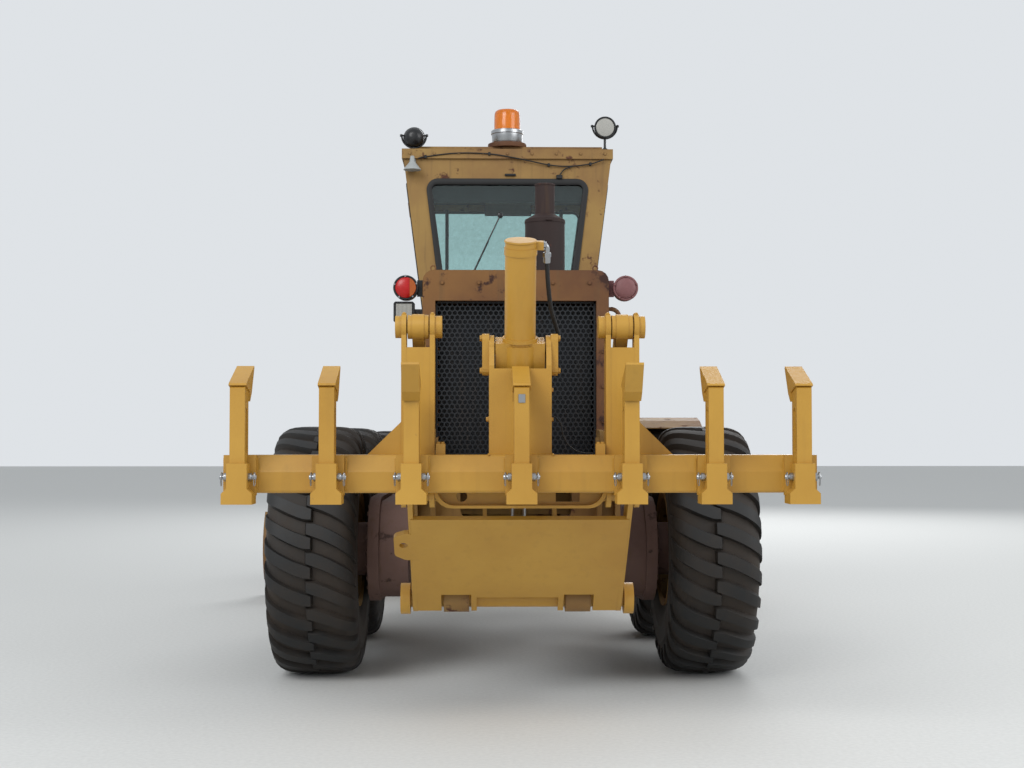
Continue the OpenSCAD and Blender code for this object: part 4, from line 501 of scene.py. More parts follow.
def wheel_trim(n):
    """Nuts, hub cover and valve of one wheel, on its outer side."""
    outward = np.array([1.0 if "right" in n else -1.0, 0, 0])
    centre, nuts = centre_of[n], []
    for a in np.radians(36 * np.arange(10)):
        radial = np.array([0, math.cos(a), math.sin(a)])
        way = outward * math.cos(disc_lean) - radial * math.sin(disc_lean)
        at = centre + radial * nut_circle + outward * 0.0285
        nuts += [moved(bolt_head(0.046, 0.030), turn_to(way), at),
                 revolved([(0.0105, 0.020), (0.0105, 0.046), (0.008, 0.049)], 12, at, way)]
    hub = centre + outward * hub_out
    around = [hub + outward * 0.011 + (0, hub_bolt_circle * math.cos(a), hub_bolt_circle * math.sin(a))
              for a in np.radians(np.arange(0, 360, 45))]
    cover = revolved([(0.140, -0.004), (0.140, 0.008), (0.134, 0.011), (0.060, 0.011), (0.054, 0.020), (0.002, 0.022)],
                     40, hub, outward)
    stem = [centre + outward * x + (0, y, 0.02) for x, y in ((-0.03, 0.275), (0.035, 0.262), (0.062, 0.240))]
    piece("nuts_" + n[5:], nuts, bright_steel, body_of[n])
    piece("hub_cover_" + n[5:], [cover, bolts(around, outward, 0.022, 0.010)], old_enamel, body_of[n])
    piece("valve_" + n[5:], [swept(stem, 0.0055, 8)], black_rubber, body_of[n])

for n in wheels:
    wheel_trim(n)
print("wheels trimmed:", len(wheels))

# %% [markdown]
# ## Radiator grille
# Behind the guard's opening sits a punched honeycomb sheet, which keeps stones and hands off the fan. Its cells
# are 28 mm apart. Every cell is one ring of 24 faces, six each in front, inside the hole, behind and outside,
# and array sums repeat it over the sheet.

# %% Honeycomb
def honeycomb(x0, x1, z0, z1, y, pitch, thick, web):
    """Rings of hexagons whose centres lie pitch apart in a row, with rows 0.866 pitch apart and every second row
    moved by half a pitch; web is the width of metal between holes."""
    rows, cols = int((z1 - z0) / (pitch * 0.866)) + 1, int((x1 - x0) / pitch) + 1
    i, j = np.meshgrid(np.arange(rows), np.arange(cols), indexing="ij")
    cx = x0 + (j + 0.5 * (i % 2)) * pitch + 0.25 * pitch
    cz = z0 + i * pitch * 0.866 + 0.4 * pitch
    keep = (cx < x1 - 0.3 * pitch) & (cz < z1 - 0.3 * pitch)
    c = np.stack([cx[keep], cz[keep]], 1)
    a = np.radians(30 + 60 * np.arange(6))
    unit_ring = np.stack([np.cos(a), np.sin(a)], 1)
    outer, inner = pitch / math.sqrt(3), (pitch - web) / math.sqrt(3)
    rings = []
    for radius, depth in ((outer, 0.0), (inner, 0.0), (inner, thick), (outer, thick)):
        xz = c[:, None, :] + radius * unit_ring
        rings.append(np.stack([xz[..., 0], np.full(xz.shape[:2], y + depth), xz[..., 1]], -1))
    points = np.stack(rings, 1).reshape(-1, 3)
    cell = np.arange(len(c))[:, None, None] * 24
    return points, [(grid(4, 6, wrap_rows=True, wrap_cols=True)[None] + cell).reshape(-1, 4)]

low, high = corners_of("rear_grille")
(x0, y0, z0), (x1, y1, z1) = low, high
mesh_sheet = honeycomb(x0, x1, z0, z1, y0 + 0.001, pitch=0.028, thick=0.005, web=0.0065)
edge_bars = [block(low, (x0 + 0.012, y1, z1)), block((x1 - 0.012, y0, z0), high), block(low, (x1, y1, z0 + 0.014)),
            block((x0, y0, z1 - 0.012), high)]
piece("grille_honeycomb", [mesh_sheet], dark_enamel, "rear_body", ["rear_grille"], tidy=False)
piece("grille_frame", edge_bars, dark_enamel, "rear_body", ["rear_grille"])
print("grille triangles:", pieces_made["grille_honeycomb"])

# %% [markdown]
# ## Lamps
# On the roof stand an orange beacon on a plated foot, and two round work lamps: the left one looks forward, so
# that its black bowl is seen from behind, and the right one looks back. A small cone lamp hangs under the left
# rear corner. The guard carries a round tail lamp on each side; the left one has a clean red and amber lens, the
# right one has gone dull. Under the left one is a square work lamp. Bowls are pressed sheet, so they are
# revolved; lenses are moulded with ribs, which break the light up into bright lines.

# %% Ribbed lenses, and the beacon
def ribbed(profile, sides, depth, at, axis):
    """A turned lens of which every second column is pushed in: its radius r becomes r - depth."""
    points, faces = revolved(profile, sides)
    ring = points.reshape(-1, sides, 3)
    r = np.hypot(ring[..., 0], ring[..., 1])
    push = np.where((np.arange(sides) % 2 == 0) & (r > 4 * depth), 1 - depth / np.maximum(r, 1e-6), 1.0)
    ring[..., :2] *= push[..., None]
    return moved((ring.reshape(-1, 3), faces), turn_to(axis), at)

beacon_low, beacon_high = corners_of("cab_lamps")
cab_low, cab_high = corners_of("cab")
cab_rear, roof_top = float(cab_low[1] + 0.020), float(cab_high[2])
roof_under = roof_top - 0.100
beacon_at = np.array([0, cab_rear + 0.140, roof_top])
lens = [(0.093, 0.126), (0.094, 0.190), (0.092, 0.250), (0.087, 0.268), (0.074, 0.279), (0.040, 0.284), (0.002, 0.285)]
plinth = [(0.104, 0.030), (0.108, 0.036), (0.112, 0.100), (0.117, 0.104), (0.117, 0.126), (0.111, 0.131),
          (0.002, 0.131)]
base = [(0.138, -0.001), (0.140, 0.004), (0.140, 0.028), (0.137, 0.032), (0.002, 0.032)]
base_bolts = [beacon_at + np.array([0.126 * math.cos(a), 0.126 * math.sin(a), 0.032])
              for a in np.radians(np.arange(45, 360, 90))]
piece("beacon_lens", [ribbed(lens, 96, 0.0016, beacon_at, (0, 0, 1))], beacon_orange, "front_body",
      ["cab_lamps"])
piece("beacon_foot", [revolved(plinth, 56, beacon_at)], bright_steel, "front_body", ["cab_lamps"])
piece("beacon_plate", [revolved(base, 56, beacon_at), bolts(base_bolts, (0, 0, 1), 0.013, 0.008)], old_enamel_dark,
      "front_body", ["cab_lamps"])
print("beacon height:", round(lens[-1][1], 3), "m")

# %% Round work lamps, cone lamp
def work_lamp(name, x, z, looks):
    """Bowl, bezel, lens, stalk and stirrup of a round lamp; looks is +1 forward or -1 back."""
    at, axis, foot_z = np.array([x, cab_rear - 0.005, z]), (0, looks, 0), roof_top - 0.030
    shell = [(0.014, -0.060), (0.030, -0.058), (0.052, -0.044), (0.068, -0.020), (0.073, 0.006), (0.074, 0.020)]
    rim = [(0.070, 0.016), (0.0785, 0.018), (0.0785, 0.030), (0.074, 0.034), (0.068, 0.034), (0.066, 0.028)]
    bowl, bezel = revolved(shell, 48, at, axis), revolved(rim, 48, at, axis, closed=True)
    a = np.radians(np.linspace(180, 360, 19))
    stirrup = np.stack([x + 0.088 * np.cos(a), np.full(19, at[1]), z + 0.012 + 0.088 * np.sin(a)], 1)
    stirrup = np.concatenate([stirrup[:1] + (0, 0, 0.010), stirrup, stirrup[-1:] + (0, 0, 0.010)])
    ears = []
    for s in (-1, 1):
        ears += [moved(bolt_head(0.016, 0.010), turn_to((s, 0, 0)), (x + s * 0.091, at[1], z + 0.014)),
                 revolved([(0.006, 0.0), (0.006, 0.022)], 10, (x + s * 0.070, at[1], z + 0.014), (s, 0, 0))]
    post = [(0.020, 0.0), (0.020, 0.004), (0.009, 0.006), (0.009, z - 0.074 - foot_z)]
    stalk = [revolved(post, 16, (x, at[1], foot_z)), moved(bolt_head(0.022, 0.012), None, (x, at[1], foot_z))]
    piece(name + "_bowl", [bowl, bezel, swept(stirrup, 0.0065, 10)] + ears + stalk, black_gloss, "front_body",
          ["cab_lamps"])
    lens = [(0.0675, 0.026), (0.064, 0.031), (0.040, 0.036), (0.002, 0.038)]
    piece(name + "_lens", [ribbed(lens, 64, 0.0010, at, axis)], lamp_clear, "front_body", ["cab_lamps"])

work_lamp("roof_lamp_left", float(beacon_low[0]) + 0.076, roof_under + 0.152, 1)
work_lamp("roof_lamp_right", float(beacon_high[0]) - 0.076, roof_under + 0.225, -1)
cone_at = np.array([-0.680, cab_rear - 0.062, roof_under - 0.092])
cone = [(0.0600, 0.001), (0.0625, 0.000), (0.0620, 0.004), (0.050, 0.020), (0.034, 0.040), (0.0175, 0.061),
        (0.0155, 0.096), (0.010, 0.101), (0.002, 0.102)]
piece("cone_lamp", [revolved(cone, 40, cone_at),
                    block(cone_at + (-0.010, 0, 0.076), cone_at + (0.010, 0.0615, 0.096), 0.001),
                    block(cone_at + (-0.022, 0.0555, 0.060), cone_at + (0.022, 0.0615, 0.112), 0.001)],
      pale_enamel, "front_body", ["cab_lamps"])
print("triangles of a roof lamp's bowl:", pieces_made["roof_lamp_left_bowl"])

# %% Tail lamps
guard_y, guard_half = float(corners_of("hood")[0][1]), 0.505
tail_x, tail_z = guard_half + 0.092, 2.235
for side, name in ((-1, "left"), (1, "right")):
    at, tired = np.array([side * tail_x, guard_y + 0.030, tail_z]), side > 0
    body = revolved([(0.020, -0.074), (0.060, -0.070), (0.066, -0.060), (0.068, 0.010), (0.068, 0.024), (0.064, 0.028),
                     (0.058, 0.028), (0.056, 0.020)], 48, at, (0, -1, 0))
    wall_x, y = side * guard_half, at[1] + 0.020
    bracket = [block((wall_x, y, tail_z - 0.045), (side * (guard_half + 0.032), y + 0.010, tail_z + 0.045), 0.001),
               block((wall_x, y, tail_z - 0.039), (side * (guard_half + 0.006), y + 0.055, tail_z + 0.039), 0.001),
               bolts([(side * (guard_half + 0.006), y + 0.035, tail_z + z) for z in (-0.020, 0.020)], (side, 0, 0),
                     0.016, 0.008)]
    screws = [revolved([(0.0065, 0.020), (0.0065, 0.034), (0.0045, 0.037)], 12,
                       at + np.array([0.062 * math.cos(a), 0, 0.062 * math.sin(a)]), (0, -1, 0))
              for a in np.radians([20, 92, 164, 236, 308])]
    lens = [(0.0575, 0.018), (0.0560, 0.030), (0.048, 0.037), (0.030, 0.042), (0.002, 0.044)]
    piece(f"tail_lamp_{name}_housing", [body] + bracket, tired_red if tired else black_gloss, "rear_body",
          ["rear_lamps"])
    piece(f"tail_lamp_{name}_screws", screws, tired_red if tired else bright_steel, "rear_body")
    piece(f"tail_lamp_{name}_lens", [ribbed(lens, 72, 0.0009, at, (0, -1, 0))], tired_red if tired else lamp_red,
          "rear_body", ["rear_lamps"])
a = np.radians(np.linspace(-66, 66, 17))
crescent = np.stack([-tail_x + 0.0555 * np.cos(a), tail_z + 0.0555 * np.sin(a)], 1)
piece("tail_lamp_left_amber", [plate(crescent, 1, guard_y + 0.012, guard_y - 0.016)], amber_lens, "rear_body")
print("tail lamps at", round(tail_x, 3), "m from the middle and", tail_z, "m up")

# %% Square lamp
(x0, y0, z0), (x1, y1, z1) = (-guard_half - 0.158, guard_y, 2.045), (-guard_half - 0.044, guard_y + 0.070, 2.160)
u0, u1, v0, v1 = x0 + 0.004, x1 - 0.004, z0 + 0.004, z1 - 0.004
frame_bars = [(u0, u0 + 0.008, v0, v1), (u1 - 0.008, u1, v0, v1), (u0, u1, v0, v0 + 0.008), (u0, u1, v1 - 0.008, v1)]
piece("square_lamp_housing",
      [block((x0, y0, z0), (x1, y1, z1), 0.010)]
      + [block((a, y0 - 0.005, c), (b, y0 + 0.004, d)) for a, b, c, d in frame_bars]
      + [block((-guard_half - 0.050, guard_y + 0.030, 2.080), (-guard_half, guard_y + 0.054, 2.120), 0.001),
         bolts([(-guard_half - 0.026, guard_y + 0.030, 2.100)], (0, -1, 0), 0.018, 0.008)],
      black_gloss, "rear_body", ["rear_lamps"])
ribs = np.linspace(x0 + 0.014, x1 - 0.014, 13)
piece("square_lamp_lens",
      [block((a + 0.0004, y0 - 0.003, z0 + 0.013), (b - 0.0004, y0 + 0.001, z1 - 0.013), 0.0015)
       for a, b in zip(ribs[:-1], ribs[1:])], lamp_clear, "rear_body", ["rear_lamps"])
print("lamp pieces so far:", sum("lamp" in n or "beacon" in n for n in pieces_made))

# %% Head lamps
low, high = corners_of("head_lamps")
for side, name in ((-1, "left"), (1, "right")):
    x0, x1 = (0.090, 0.330) if side > 0 else (-0.330, -0.090)
    shell = [block((x0, low[1], low[2]), (x1, high[1] - 0.012, high[2]), 0.012),
             block((x0 - 0.003, high[1] - 0.016, low[2] - 0.003),
                   (x1 + 0.003, high[1] - 0.004, high[2] + 0.003), 0.004)]
    piece(f"head_lamp_{name}_shell", shell, black_gloss, "front_body", ["head_lamps"])
    middle = [(x0 + (x1 - x0) * k, high[1] - 0.004, (low[2] + high[2]) / 2) for k in (0.26, 0.74)]
    lens = [(0.050, -0.006), (0.049, 0.003), (0.030, 0.008), (0.002, 0.010)]
    piece(f"head_lamp_{name}_lens", [ribbed(lens, 56, 0.0009, p, (0, 1, 0)) for p in middle], lamp_clear, "front_body",
          ["head_lamps"])
print("head lamps: 2 shells, 4 lenses")

# %% [markdown]
# ## Cab windows
# Each pane is held by an extruded rubber seal that stands a little proud of the sheet. The seal follows the
# window's outline, so one function gives an outline shrunk by an inset and another runs a rounded section along
# it. Behind the rear pane a dark lining hides the roof's edge, and the driver's mirror hangs further forward.

# %% Outlines and seals
def rounded(points, r, n=6):
    """Corners of a closed outline rounded with arcs of radius r, each of n + 1 points. An arc's centre lies on
    the line that halves the corner, r / sin(half the corner's angle) from it."""
    out, p = [], np.asarray(points, float)
    for a, b, c in zip(np.roll(p, 1, 0), p, np.roll(p, -1, 0)):
        u, v = (a - b) / np.linalg.norm(a - b), (c - b) / np.linalg.norm(c - b)
        half = math.acos(np.clip(u @ v, -1, 1)) / 2
        centre = b + (u + v) / np.linalg.norm(u + v) * r / math.sin(half)
        start, stop = b + u * r / math.tan(half) - centre, b + v * r / math.tan(half) - centre
        first, turn = math.atan2(start[1], start[0]), math.atan2(stop[1], stop[0]) - math.atan2(start[1], start[0])
        turn = (turn + math.pi) % (2 * math.pi) - math.pi
        t = first + turn * np.arange(n + 1) / n
        out.append(centre + r * np.stack([np.cos(t), np.sin(t)], 1))
    return np.concatenate(out)

print("a square with rounded corners has", len(rounded([(0, 0), (1, 0), (1, 1), (0, 1)], 0.1)), "points")

def seal(outline, place, width=0.018, proud=0.010):
    """A rubber strip along outline(inset); place(u, v, out) gives the point that stands out from the sheet."""
    strip = [(width, -0.004), (width, proud * 0.6), (width * 0.6, proud), (-width * 0.6, proud),
             (-width, proud * 0.6), (-width, -0.004)]
    rings = [place(*outline(inset).T, out) for inset, out in strip]
    return np.concatenate(rings), [grid(len(rings), len(rings[0]), wrap_rows=True, wrap_cols=True)]

# %% The cab's sloping walls and its windows
def cab_half(z):
    """Half the cab's width at height z: 0.5 m at the floor and 0.745 m under the roof."""
    return 0.5 + (z - 1.52) * (0.745 - 0.5) / (3.42 - 1.52)

def band(z0, z1, margin):
    """Corners of an upright shape between two heights, margin from the sloping side walls."""
    u0, u1 = cab_half(z0) - margin, cab_half(z1) - margin
    return [(-u0, z0), (u0, z0), (u1, z1), (-u1, z1)]

def end_outline(margin, z0, z1, r=0.060):
    """Outline of a window in an end wall: the band at full height, each corner drawn in by the inset."""
    draw_in = np.array([(1, 1), (-1, 1), (-1, -1), (1, -1)])
    return lambda inset: rounded(np.array(band(z0, z1, margin)) + inset * draw_in, r - inset)

def side_outline(y0, y1, z0, z1, r):
    """Outline of an upright window with rounded corners."""
    return lambda inset: rounded([(y0 + inset, z0 + inset), (y1 - inset, z0 + inset), (y1 - inset, z1 - inset),
                                  (y0 + inset, z1 - inset)], r - inset)

cab_front = 0.293
on_rear = lambda u, v, out: np.stack([u, np.full(len(u), cab_rear - out), v], 1)
on_front = lambda u, v, out: np.stack([u, np.full(len(u), cab_front + out), v], 1)
def on_side(side):
    """The sloping side wall: it stands out along its own normal, 7.3 degrees from level."""
    lean = math.atan2(0.245, 1.9)
    return lambda u, v, out: np.stack([side * (cab_half(v) + out * math.cos(lean)), u, v - out * math.sin(lean)], 1)

pane_low, pane_high = 2.300, 3.256
seals = [seal(end_outline(0.155, pane_low, pane_high), on_rear, 0.022, 0.012),
         seal(end_outline(0.095, pane_low, pane_high + 0.030), on_front)]
for s in (-1, 1):
    z0, z1 = 1.700, 2.180
    low_pane = [(s * 0.120, z0), (s * (cab_half(z0) - 0.08), z0), (s * (cab_half(z1) - 0.08), z1), (s * 0.120, z1)]
    middle = np.mean(low_pane, 0)
    seals.append(seal(lambda inset, q=np.array(low_pane), c=middle: rounded(c + (q - c) * (1 - inset / 0.2),
                                                                           0.040 - inset), on_front))
    seals.append(seal(side_outline(cab_rear + 0.110, -0.787, pane_low, pane_high, 0.060), on_side(s)))
piece("window_seals", seals, black_rubber, "front_body")
for s, n in ((-1, "left"), (1, "right")):
    low, high = corners_of(f"door_glass_{n}")
    pane = side_outline(float(low[1]), float(high[1]), float(low[2]), float(high[2]), 0.070)
    handle = on_side(s)(np.array([0.120, 0.120, 0.120, 0.120]), np.array([2.10, 2.09, 1.98, 1.97]), 0.0)
    out = np.array([s * 0.045, 0, -0.006])
    bar_path = smooth_path([handle[0], handle[1] + out, handle[2] + out, handle[3]], 6)
    piece(f"door_{n}_seal", [seal(pane, on_side(s), 0.016, 0.008)], black_rubber, f"door_{n}")
    piece(f"door_{n}_handle", [swept(bar_path, 0.008, 10)], black_gloss, f"door_{n}")
print("window seals:", len(seals), "and 2 on the doors")

# %% Wiper
wiper_pivot = np.array([-0.052, cab_rear - 0.030, 3.010])
wiper_end = np.array([-0.224, cab_rear - 0.018, 2.643])
along = (wiper_end - wiper_pivot) / np.linalg.norm(wiper_end - wiper_pivot)
blade_mid = wiper_end + (0, 0.004, 0)
arm_line = [wiper_pivot, wiper_pivot + 0.4 * (wiper_end - wiper_pivot) + (0, -0.016, 0), wiper_end + (0, -0.014, 0)]
arm = [swept(smooth_path(arm_line, 6), 0.0050, 8),
       swept([blade_mid - along * 0.200, blade_mid + along * 0.060 + (0, -0.001, 0)], 0.0065, 8),
       swept([wiper_end + (0, -0.016, 0), wiper_end + (0, 0.004, 0)], 0.006, 8),
       revolved([(0.020, -0.020), (0.020, 0.012), (0.012, 0.016)], 24, wiper_pivot + (0, 0.008, 0), (0, -1, 0))]
piece("rear_wiper", arm, black_gloss, "front_body")
print("wiper arm:", round(float(np.linalg.norm(wiper_end - wiper_pivot)), 3), "m")

# %% Lining and mirror
piece("cab_lining", [plate(band(3.115, 3.423, 0.042), 1, cab_rear + 0.043, cab_rear + 0.095),
                     plate(band(3.335, 3.423, 0.042), 1, cab_front - 0.140, cab_front - 0.043)],
      seat_vinyl, "front_body")
mirror_at = np.array([0.030, 0.120, 3.284])
piece("cab_mirror_back", [block(mirror_at - (0.190, -0.004, 0.056), mirror_at + (0.190, 0.020, 0.056), 0.008),
                          swept([mirror_at + (0, 0.016, 0.04), mirror_at + (0, 0.046, 0.10)], 0.008, 8)],
      black_gloss, "front_body")
piece("cab_mirror_face", [block(mirror_at - (0.184, 0.002, 0.050), mirror_at + (0.184, 0.005, 0.050), 0.001)],
      bright_steel, "front_body")
print("mirror at", mirror_at.tolist())

# %% Header wire and roof bolts
def off_wall(*points):
    """Points given as (x, distance behind the cab's rear wall, z)."""
    return [(x, cab_rear - behind, z) for x, behind, z in points]

wire = smooth_path(off_wall((-0.640, 0.028, 3.418), (-0.587, 0.026, 3.430), (-0.376, 0.026, 3.456),
                            (-0.131, 0.026, 3.452), (0.083, 0.026, 3.418), (0.296, 0.018, 3.376),
                            (0.438, 0.014, 3.367), (0.595, 0.016, 3.384), (0.690, 0.028, 3.414)), 8)
branch = smooth_path(off_wall((0.470, 0.014, 3.368), (0.410, 0.014, 3.345), (0.372, 0.014, 3.300)), 6)
clips = [((-0.587, 3.430), 0.034, 0.019), ((-0.131, 3.452), 0.034, 0.019),
         ((0.296, 3.376), 0.022, -0.001), ((0.595, 3.384), 0.022, -0.001)]
holders = [block(*off_wall((x - 0.009, far, z - 0.012), (x + 0.009, near, z + 0.012)), 0.003)
           for (x, z), far, near in clips]
holders += [block(*off_wall((0.350, 0.024, 3.276), (0.394, -0.001, 3.304)), 0.004),
            block(*off_wall((-0.020, 0.018, 3.296), (0.060, -0.001, 3.312)), 0.004)]
piece("header_wire", [swept(wire, 0.0045, 8), swept(branch, 0.0045, 8)] + holders, black_rubber, "front_body")
bolt_places = [(x, cab_rear - 0.020, 3.455) for x in np.linspace(-0.70, 0.70, 9)]
piece("roof_bolts", [bolts(bolt_places, (0, -1, 0), 0.016, 0.008)], old_enamel, "front_body")
print("pieces so far:", len(pieces_made), "triangles:", sum(pieces_made.values()))

# %% [markdown]
# ## Ripper hardware
# A plated pin runs through each pocket and its shank. A ring and a wire clip, bent from 4 mm wire, stop it at
# both ends. The bearing caps on the post and the eyes on the masts are held by bolts. The barrel of the
# cylinder has a steel port fitting at its top, from which a hose hangs down and turns in beside the trunnion.

# %% Pins with clips in the pockets
pocket_y, pin_z = float(corners_of("ripper_carriage")[0][1]), 1.2415
pocket_x = [-1.309, -0.897, -0.510, 0.0, 0.510, 0.897, 1.309]
def clip_pin(x, side):
    """End of the pin outside one cheek of a pocket, with its ring and a clip whose two legs hang down."""
    at = np.array([x, pocket_y + 0.052, pin_z])
    pin = revolved([(0.0120, 0.040), (0.0120, 0.082), (0.0100, 0.085)], 16, at, (side, 0, 0))
    ring = revolved([(0.0120, 0.047), (0.0200, 0.048), (0.0205, 0.064), (0.0120, 0.065)], 20, at, (side, 0, 0),
                    closed=True)
    legs = np.array([(0, 0.004, 0.016), (0.004, -0.010, 0.021), (0.004, -0.017, 0.004), (0.002, -0.017, -0.030),
                     (0.005, -0.012, -0.040), (0.008, -0.006, -0.030), (0.008, -0.004, 0.0), (0.006, 0.004, 0.020),
                     (0, 0.006, 0.012)])
    wire = smooth_path(at + (side * 0.071, 0, 0) + legs * (side, 1, 1), 4)
    return [pin, ring, swept(wire, 0.0022, 6)]

piece("pocket_pins", [part for x in pocket_x for s in (-1, 1) for part in clip_pin(x, s)], bright_steel,
      "ripper_carriage")
# a small bright plug in the back of the middle shank
piece("shank_plug", [block((-0.016, pocket_y + 0.0125, 1.585), (0.016, pocket_y + 0.0175, 1.625), 0.001)],
      bright_steel, "ripper_carriage")
print("pockets:", len(pocket_x), "pin triangles:", pieces_made["pocket_pins"])

# %% Bolts of the post and masts
pivot = np.array([0, -4.79684, 1.860])
# bearing caps of the post, blocks on the beam, eyes on the masts, and three bolts on the post's sides
bolt_rows = []
for s in (-1, 1):
    bolt_rows += [
        bolts([(s * 0.183, pivot[1] + y, pivot[2] + z) for y in (-0.030, 0.030) for z in (0.045, -0.112)], (s, 0, 0),
              0.022, 0.012),
        bolts([(s * 0.371, -4.912, 1.395), (s * 0.390, -4.912, 1.395)], (0, 0, 1), 0.014, 0.009)]
    bolt_rows += [bolts([(s * x, -4.847 + y, 2.0165)], (0, y, 0.06), 0.014, 0.009) for x in (0.422, 0.558)
                  for y in (-0.018, 0.018)]
bolt_rows += [bolts([(-0.150, -4.800, 1.512)], (-1, 0, 0), 0.020, 0.014),
              bolts([(0.150, -4.800, 1.512), (0.150, -4.800, 1.655)], (1, 0, 0), 0.018, 0.012)]
piece("ripper_bolts", bolt_rows, fresh_enamel, "ripper_carriage")
print("ripper bolt triangles:", pieces_made["ripper_bolts"])

# %% Welds
def weld(start, end, radius=0.005, ripple=0.009):
    """A fillet weld: a bead of four rings per pool, whose radius is multiplied by 1 + 0.16 sin(k * 90 degrees)."""
    start, end = np.asarray(start, float), np.asarray(end, float)
    length = np.linalg.norm(end - start)
    n = max(4, int(length / ripple) * 4)
    t = np.linspace(0, 1, n)[:, None]
    points, faces = swept(start + (end - start) * t, radius, 6)
    rings = points.reshape(n, 6, 3)
    middle = rings.mean(1, keepdims=True)
    swell = 1 + 0.16 * np.sin(np.arange(n) * np.pi / 2)
    return ((rings - middle) * swell[:, None, None] + middle).reshape(-1, 3), faces

beam_top, beam_back = 1.3431, -5.027
welds = [weld((s * 0.152, -4.99, beam_top + 0.001), (s * 0.152, -4.89, beam_top + 0.001)) for s in (-1, 1)]
welds += [weld((x + s * 0.0765, beam_back - 0.001, 1.175), (x + s * 0.0765, beam_back - 0.001, 1.330))
          for x in pocket_x for s in (-1, 1)]
piece("ripper_welds", welds, fresh_enamel, "ripper_carriage")
print("welds:", len(welds))

# %% Port fitting of the ripper cylinder
lean = math.radians(18.6425)
def on_barrel(x, y, z):
    """Point given from the trunnion with z along the barrel, which leans back by 18.6 degrees."""
    return pivot + np.array([x, y * math.cos(lean) - z * math.sin(lean), y * math.sin(lean) + z * math.cos(lean)])

up, top_port, low_port = on_barrel(0, 0, 1) - pivot, on_barrel(0.108, 0, 0.504), on_barrel(0.060, 0.062, -0.055)
hose_top, hose_low = on_barrel(0.125, 0, 0.470), (0.078, -4.672, 1.831)
elbow = [top_port, on_barrel(0.118, 0, 0.503), on_barrel(0.124, 0, 0.494), on_barrel(0.125, 0, 0.468)]
low_elbow = [low_port, low_port + (0, 0.030, 0.008), low_port + (0.012, 0.047, 0.009), (0.112, -4.672, 1.832)]
fittings = [swept(smooth_path(elbow, 4), 0.013, 14), swept(smooth_path(low_elbow, 5), 0.013, 14),
            revolved([(0.019, 0.0), (0.019, 0.012), (0.015, 0.014)], 6, top_port, (1, 0, 0)),
            revolved([(0.0205, -0.022), (0.0205, -0.002), (0.0185, 0.0)], 6, hose_top, up),
            revolved([(0.0165, -0.050), (0.0170, -0.048), (0.0170, -0.022), (0.015, -0.020)], 20, hose_top, up),
            revolved([(0.0165, 0.0), (0.0170, 0.002), (0.0170, 0.028), (0.015, 0.030)], 20, hose_low, (1, 0, 0)),
            bolts([on_barrel(0.109, y, z) for y in (-0.012, 0.012) for z in (0.489, 0.519)], (1, 0, 0), 0.009, 0.005)]
piece("ripper_port_fittings", fittings, bright_steel, "ripper_barrel")
print("port fitting triangles:", pieces_made["ripper_port_fittings"])

# %% Hose, barrel rim and grease line
def run_length(line):
    """Length of a path: the sum of its steps."""
    return float(np.linalg.norm(np.diff(line, axis=0), axis=1).sum())

hose_line = smooth_path([on_barrel(0.125, 0, 0.428), (0.134, -4.887, 2.149), (0.150, -4.815, 2.048),
                         (0.174, -4.750, 1.978), (0.193, -4.706, 1.914), (0.179, -4.683, 1.873),
                         (0.150, -4.673, 1.847), (0.108, -4.672, 1.832)], 7)
hose = piece("ripper_hose", [swept(hose_line, 0.0108, 14)], black_rubber, "ripper_barrel")
rim = revolved([(0.0755, 0.0), (0.0790, 0.003), (0.0790, 0.007), (0.0755, 0.010)], 48, on_barrel(0, 0, 0.519), up,
               closed=True)
piece("ripper_barrel_rim", [rim], fresh_enamel, "ripper_barrel")
grease_line = smooth_path([(0.150, -4.800, 1.530), (0.1706, -4.8025, 1.5227), (0.1883, -4.807, 1.504),
                           (0.2014, -4.8043, 1.4823), (0.211, -4.807, 1.430), (0.2441, -4.816, 1.3793),
                           (0.2931, -4.8216, 1.3521), (0.352, -4.822, 1.3475)], 6)
line = piece("grease_line", [swept(grease_line, 0.0035, 8)], black_rubber, "ripper_carriage")
print("hose and line:", round(run_length(hose_line), 2), "m and", round(run_length(grease_line), 2), "m")

# %% [markdown]
# ## Small parts of the hood, blade, links and cab
# Bolts hold the radiator guard, the cutting edge and the covers of the tandem cases. The muffler has a band at
# each end. Cotter pins hang under the eyes of the ripper's lower link. All of them are small, and each stands on
# the solid it holds.

# %% Guard bolts, lifting eyes and latches
guard_bolts = [(s * 0.472, guard_y, z) for s in (-1, 1) for z in np.arange(1.32, 2.12, 0.19)]
guard_bolts += [(x, guard_y, 2.262) for x in (-0.40, -0.20, 0.20, 0.40)]
lifting_eyes, eye_y = [], guard_y + 0.055
for x in (-0.450, 0.435):
    a = np.radians(np.linspace(-30, 210, 17))
    ring = np.stack([x + 0.013 * np.cos(a), np.full(17, eye_y), 2.348 + 0.013 * np.sin(a)], 1)
    legs = [[(x + side * 0.009, eye_y, 2.318)] for side in (1, -1)]
    lifting_eyes.append(swept(np.concatenate([legs[0], ring, legs[1]]), 0.004, 8))
piece("guard_bolts", [bolts(guard_bolts, (0, -1, 0), 0.018, 0.009)] + lifting_eyes, old_enamel_dark, "rear_body")
latches = []
for s, y, z in [(s, y, z) for s in (-1, 1) for y in (-3.420, -2.940, -1.860) for z in (1.560, 2.020)]:
    latches += [block((s * 0.504, y - 0.035, z - 0.022), (s * 0.511, y + 0.035, z + 0.022), 0.003),
                block((s * 0.508, y - 0.026, z - 0.006), (s * 0.524, y + 0.020, z + 0.006), 0.003)]
piece("hood_latches", latches, black_gloss, "rear_body")
print("latches:", len(latches) // 2, "guard bolts:", len(guard_bolts))

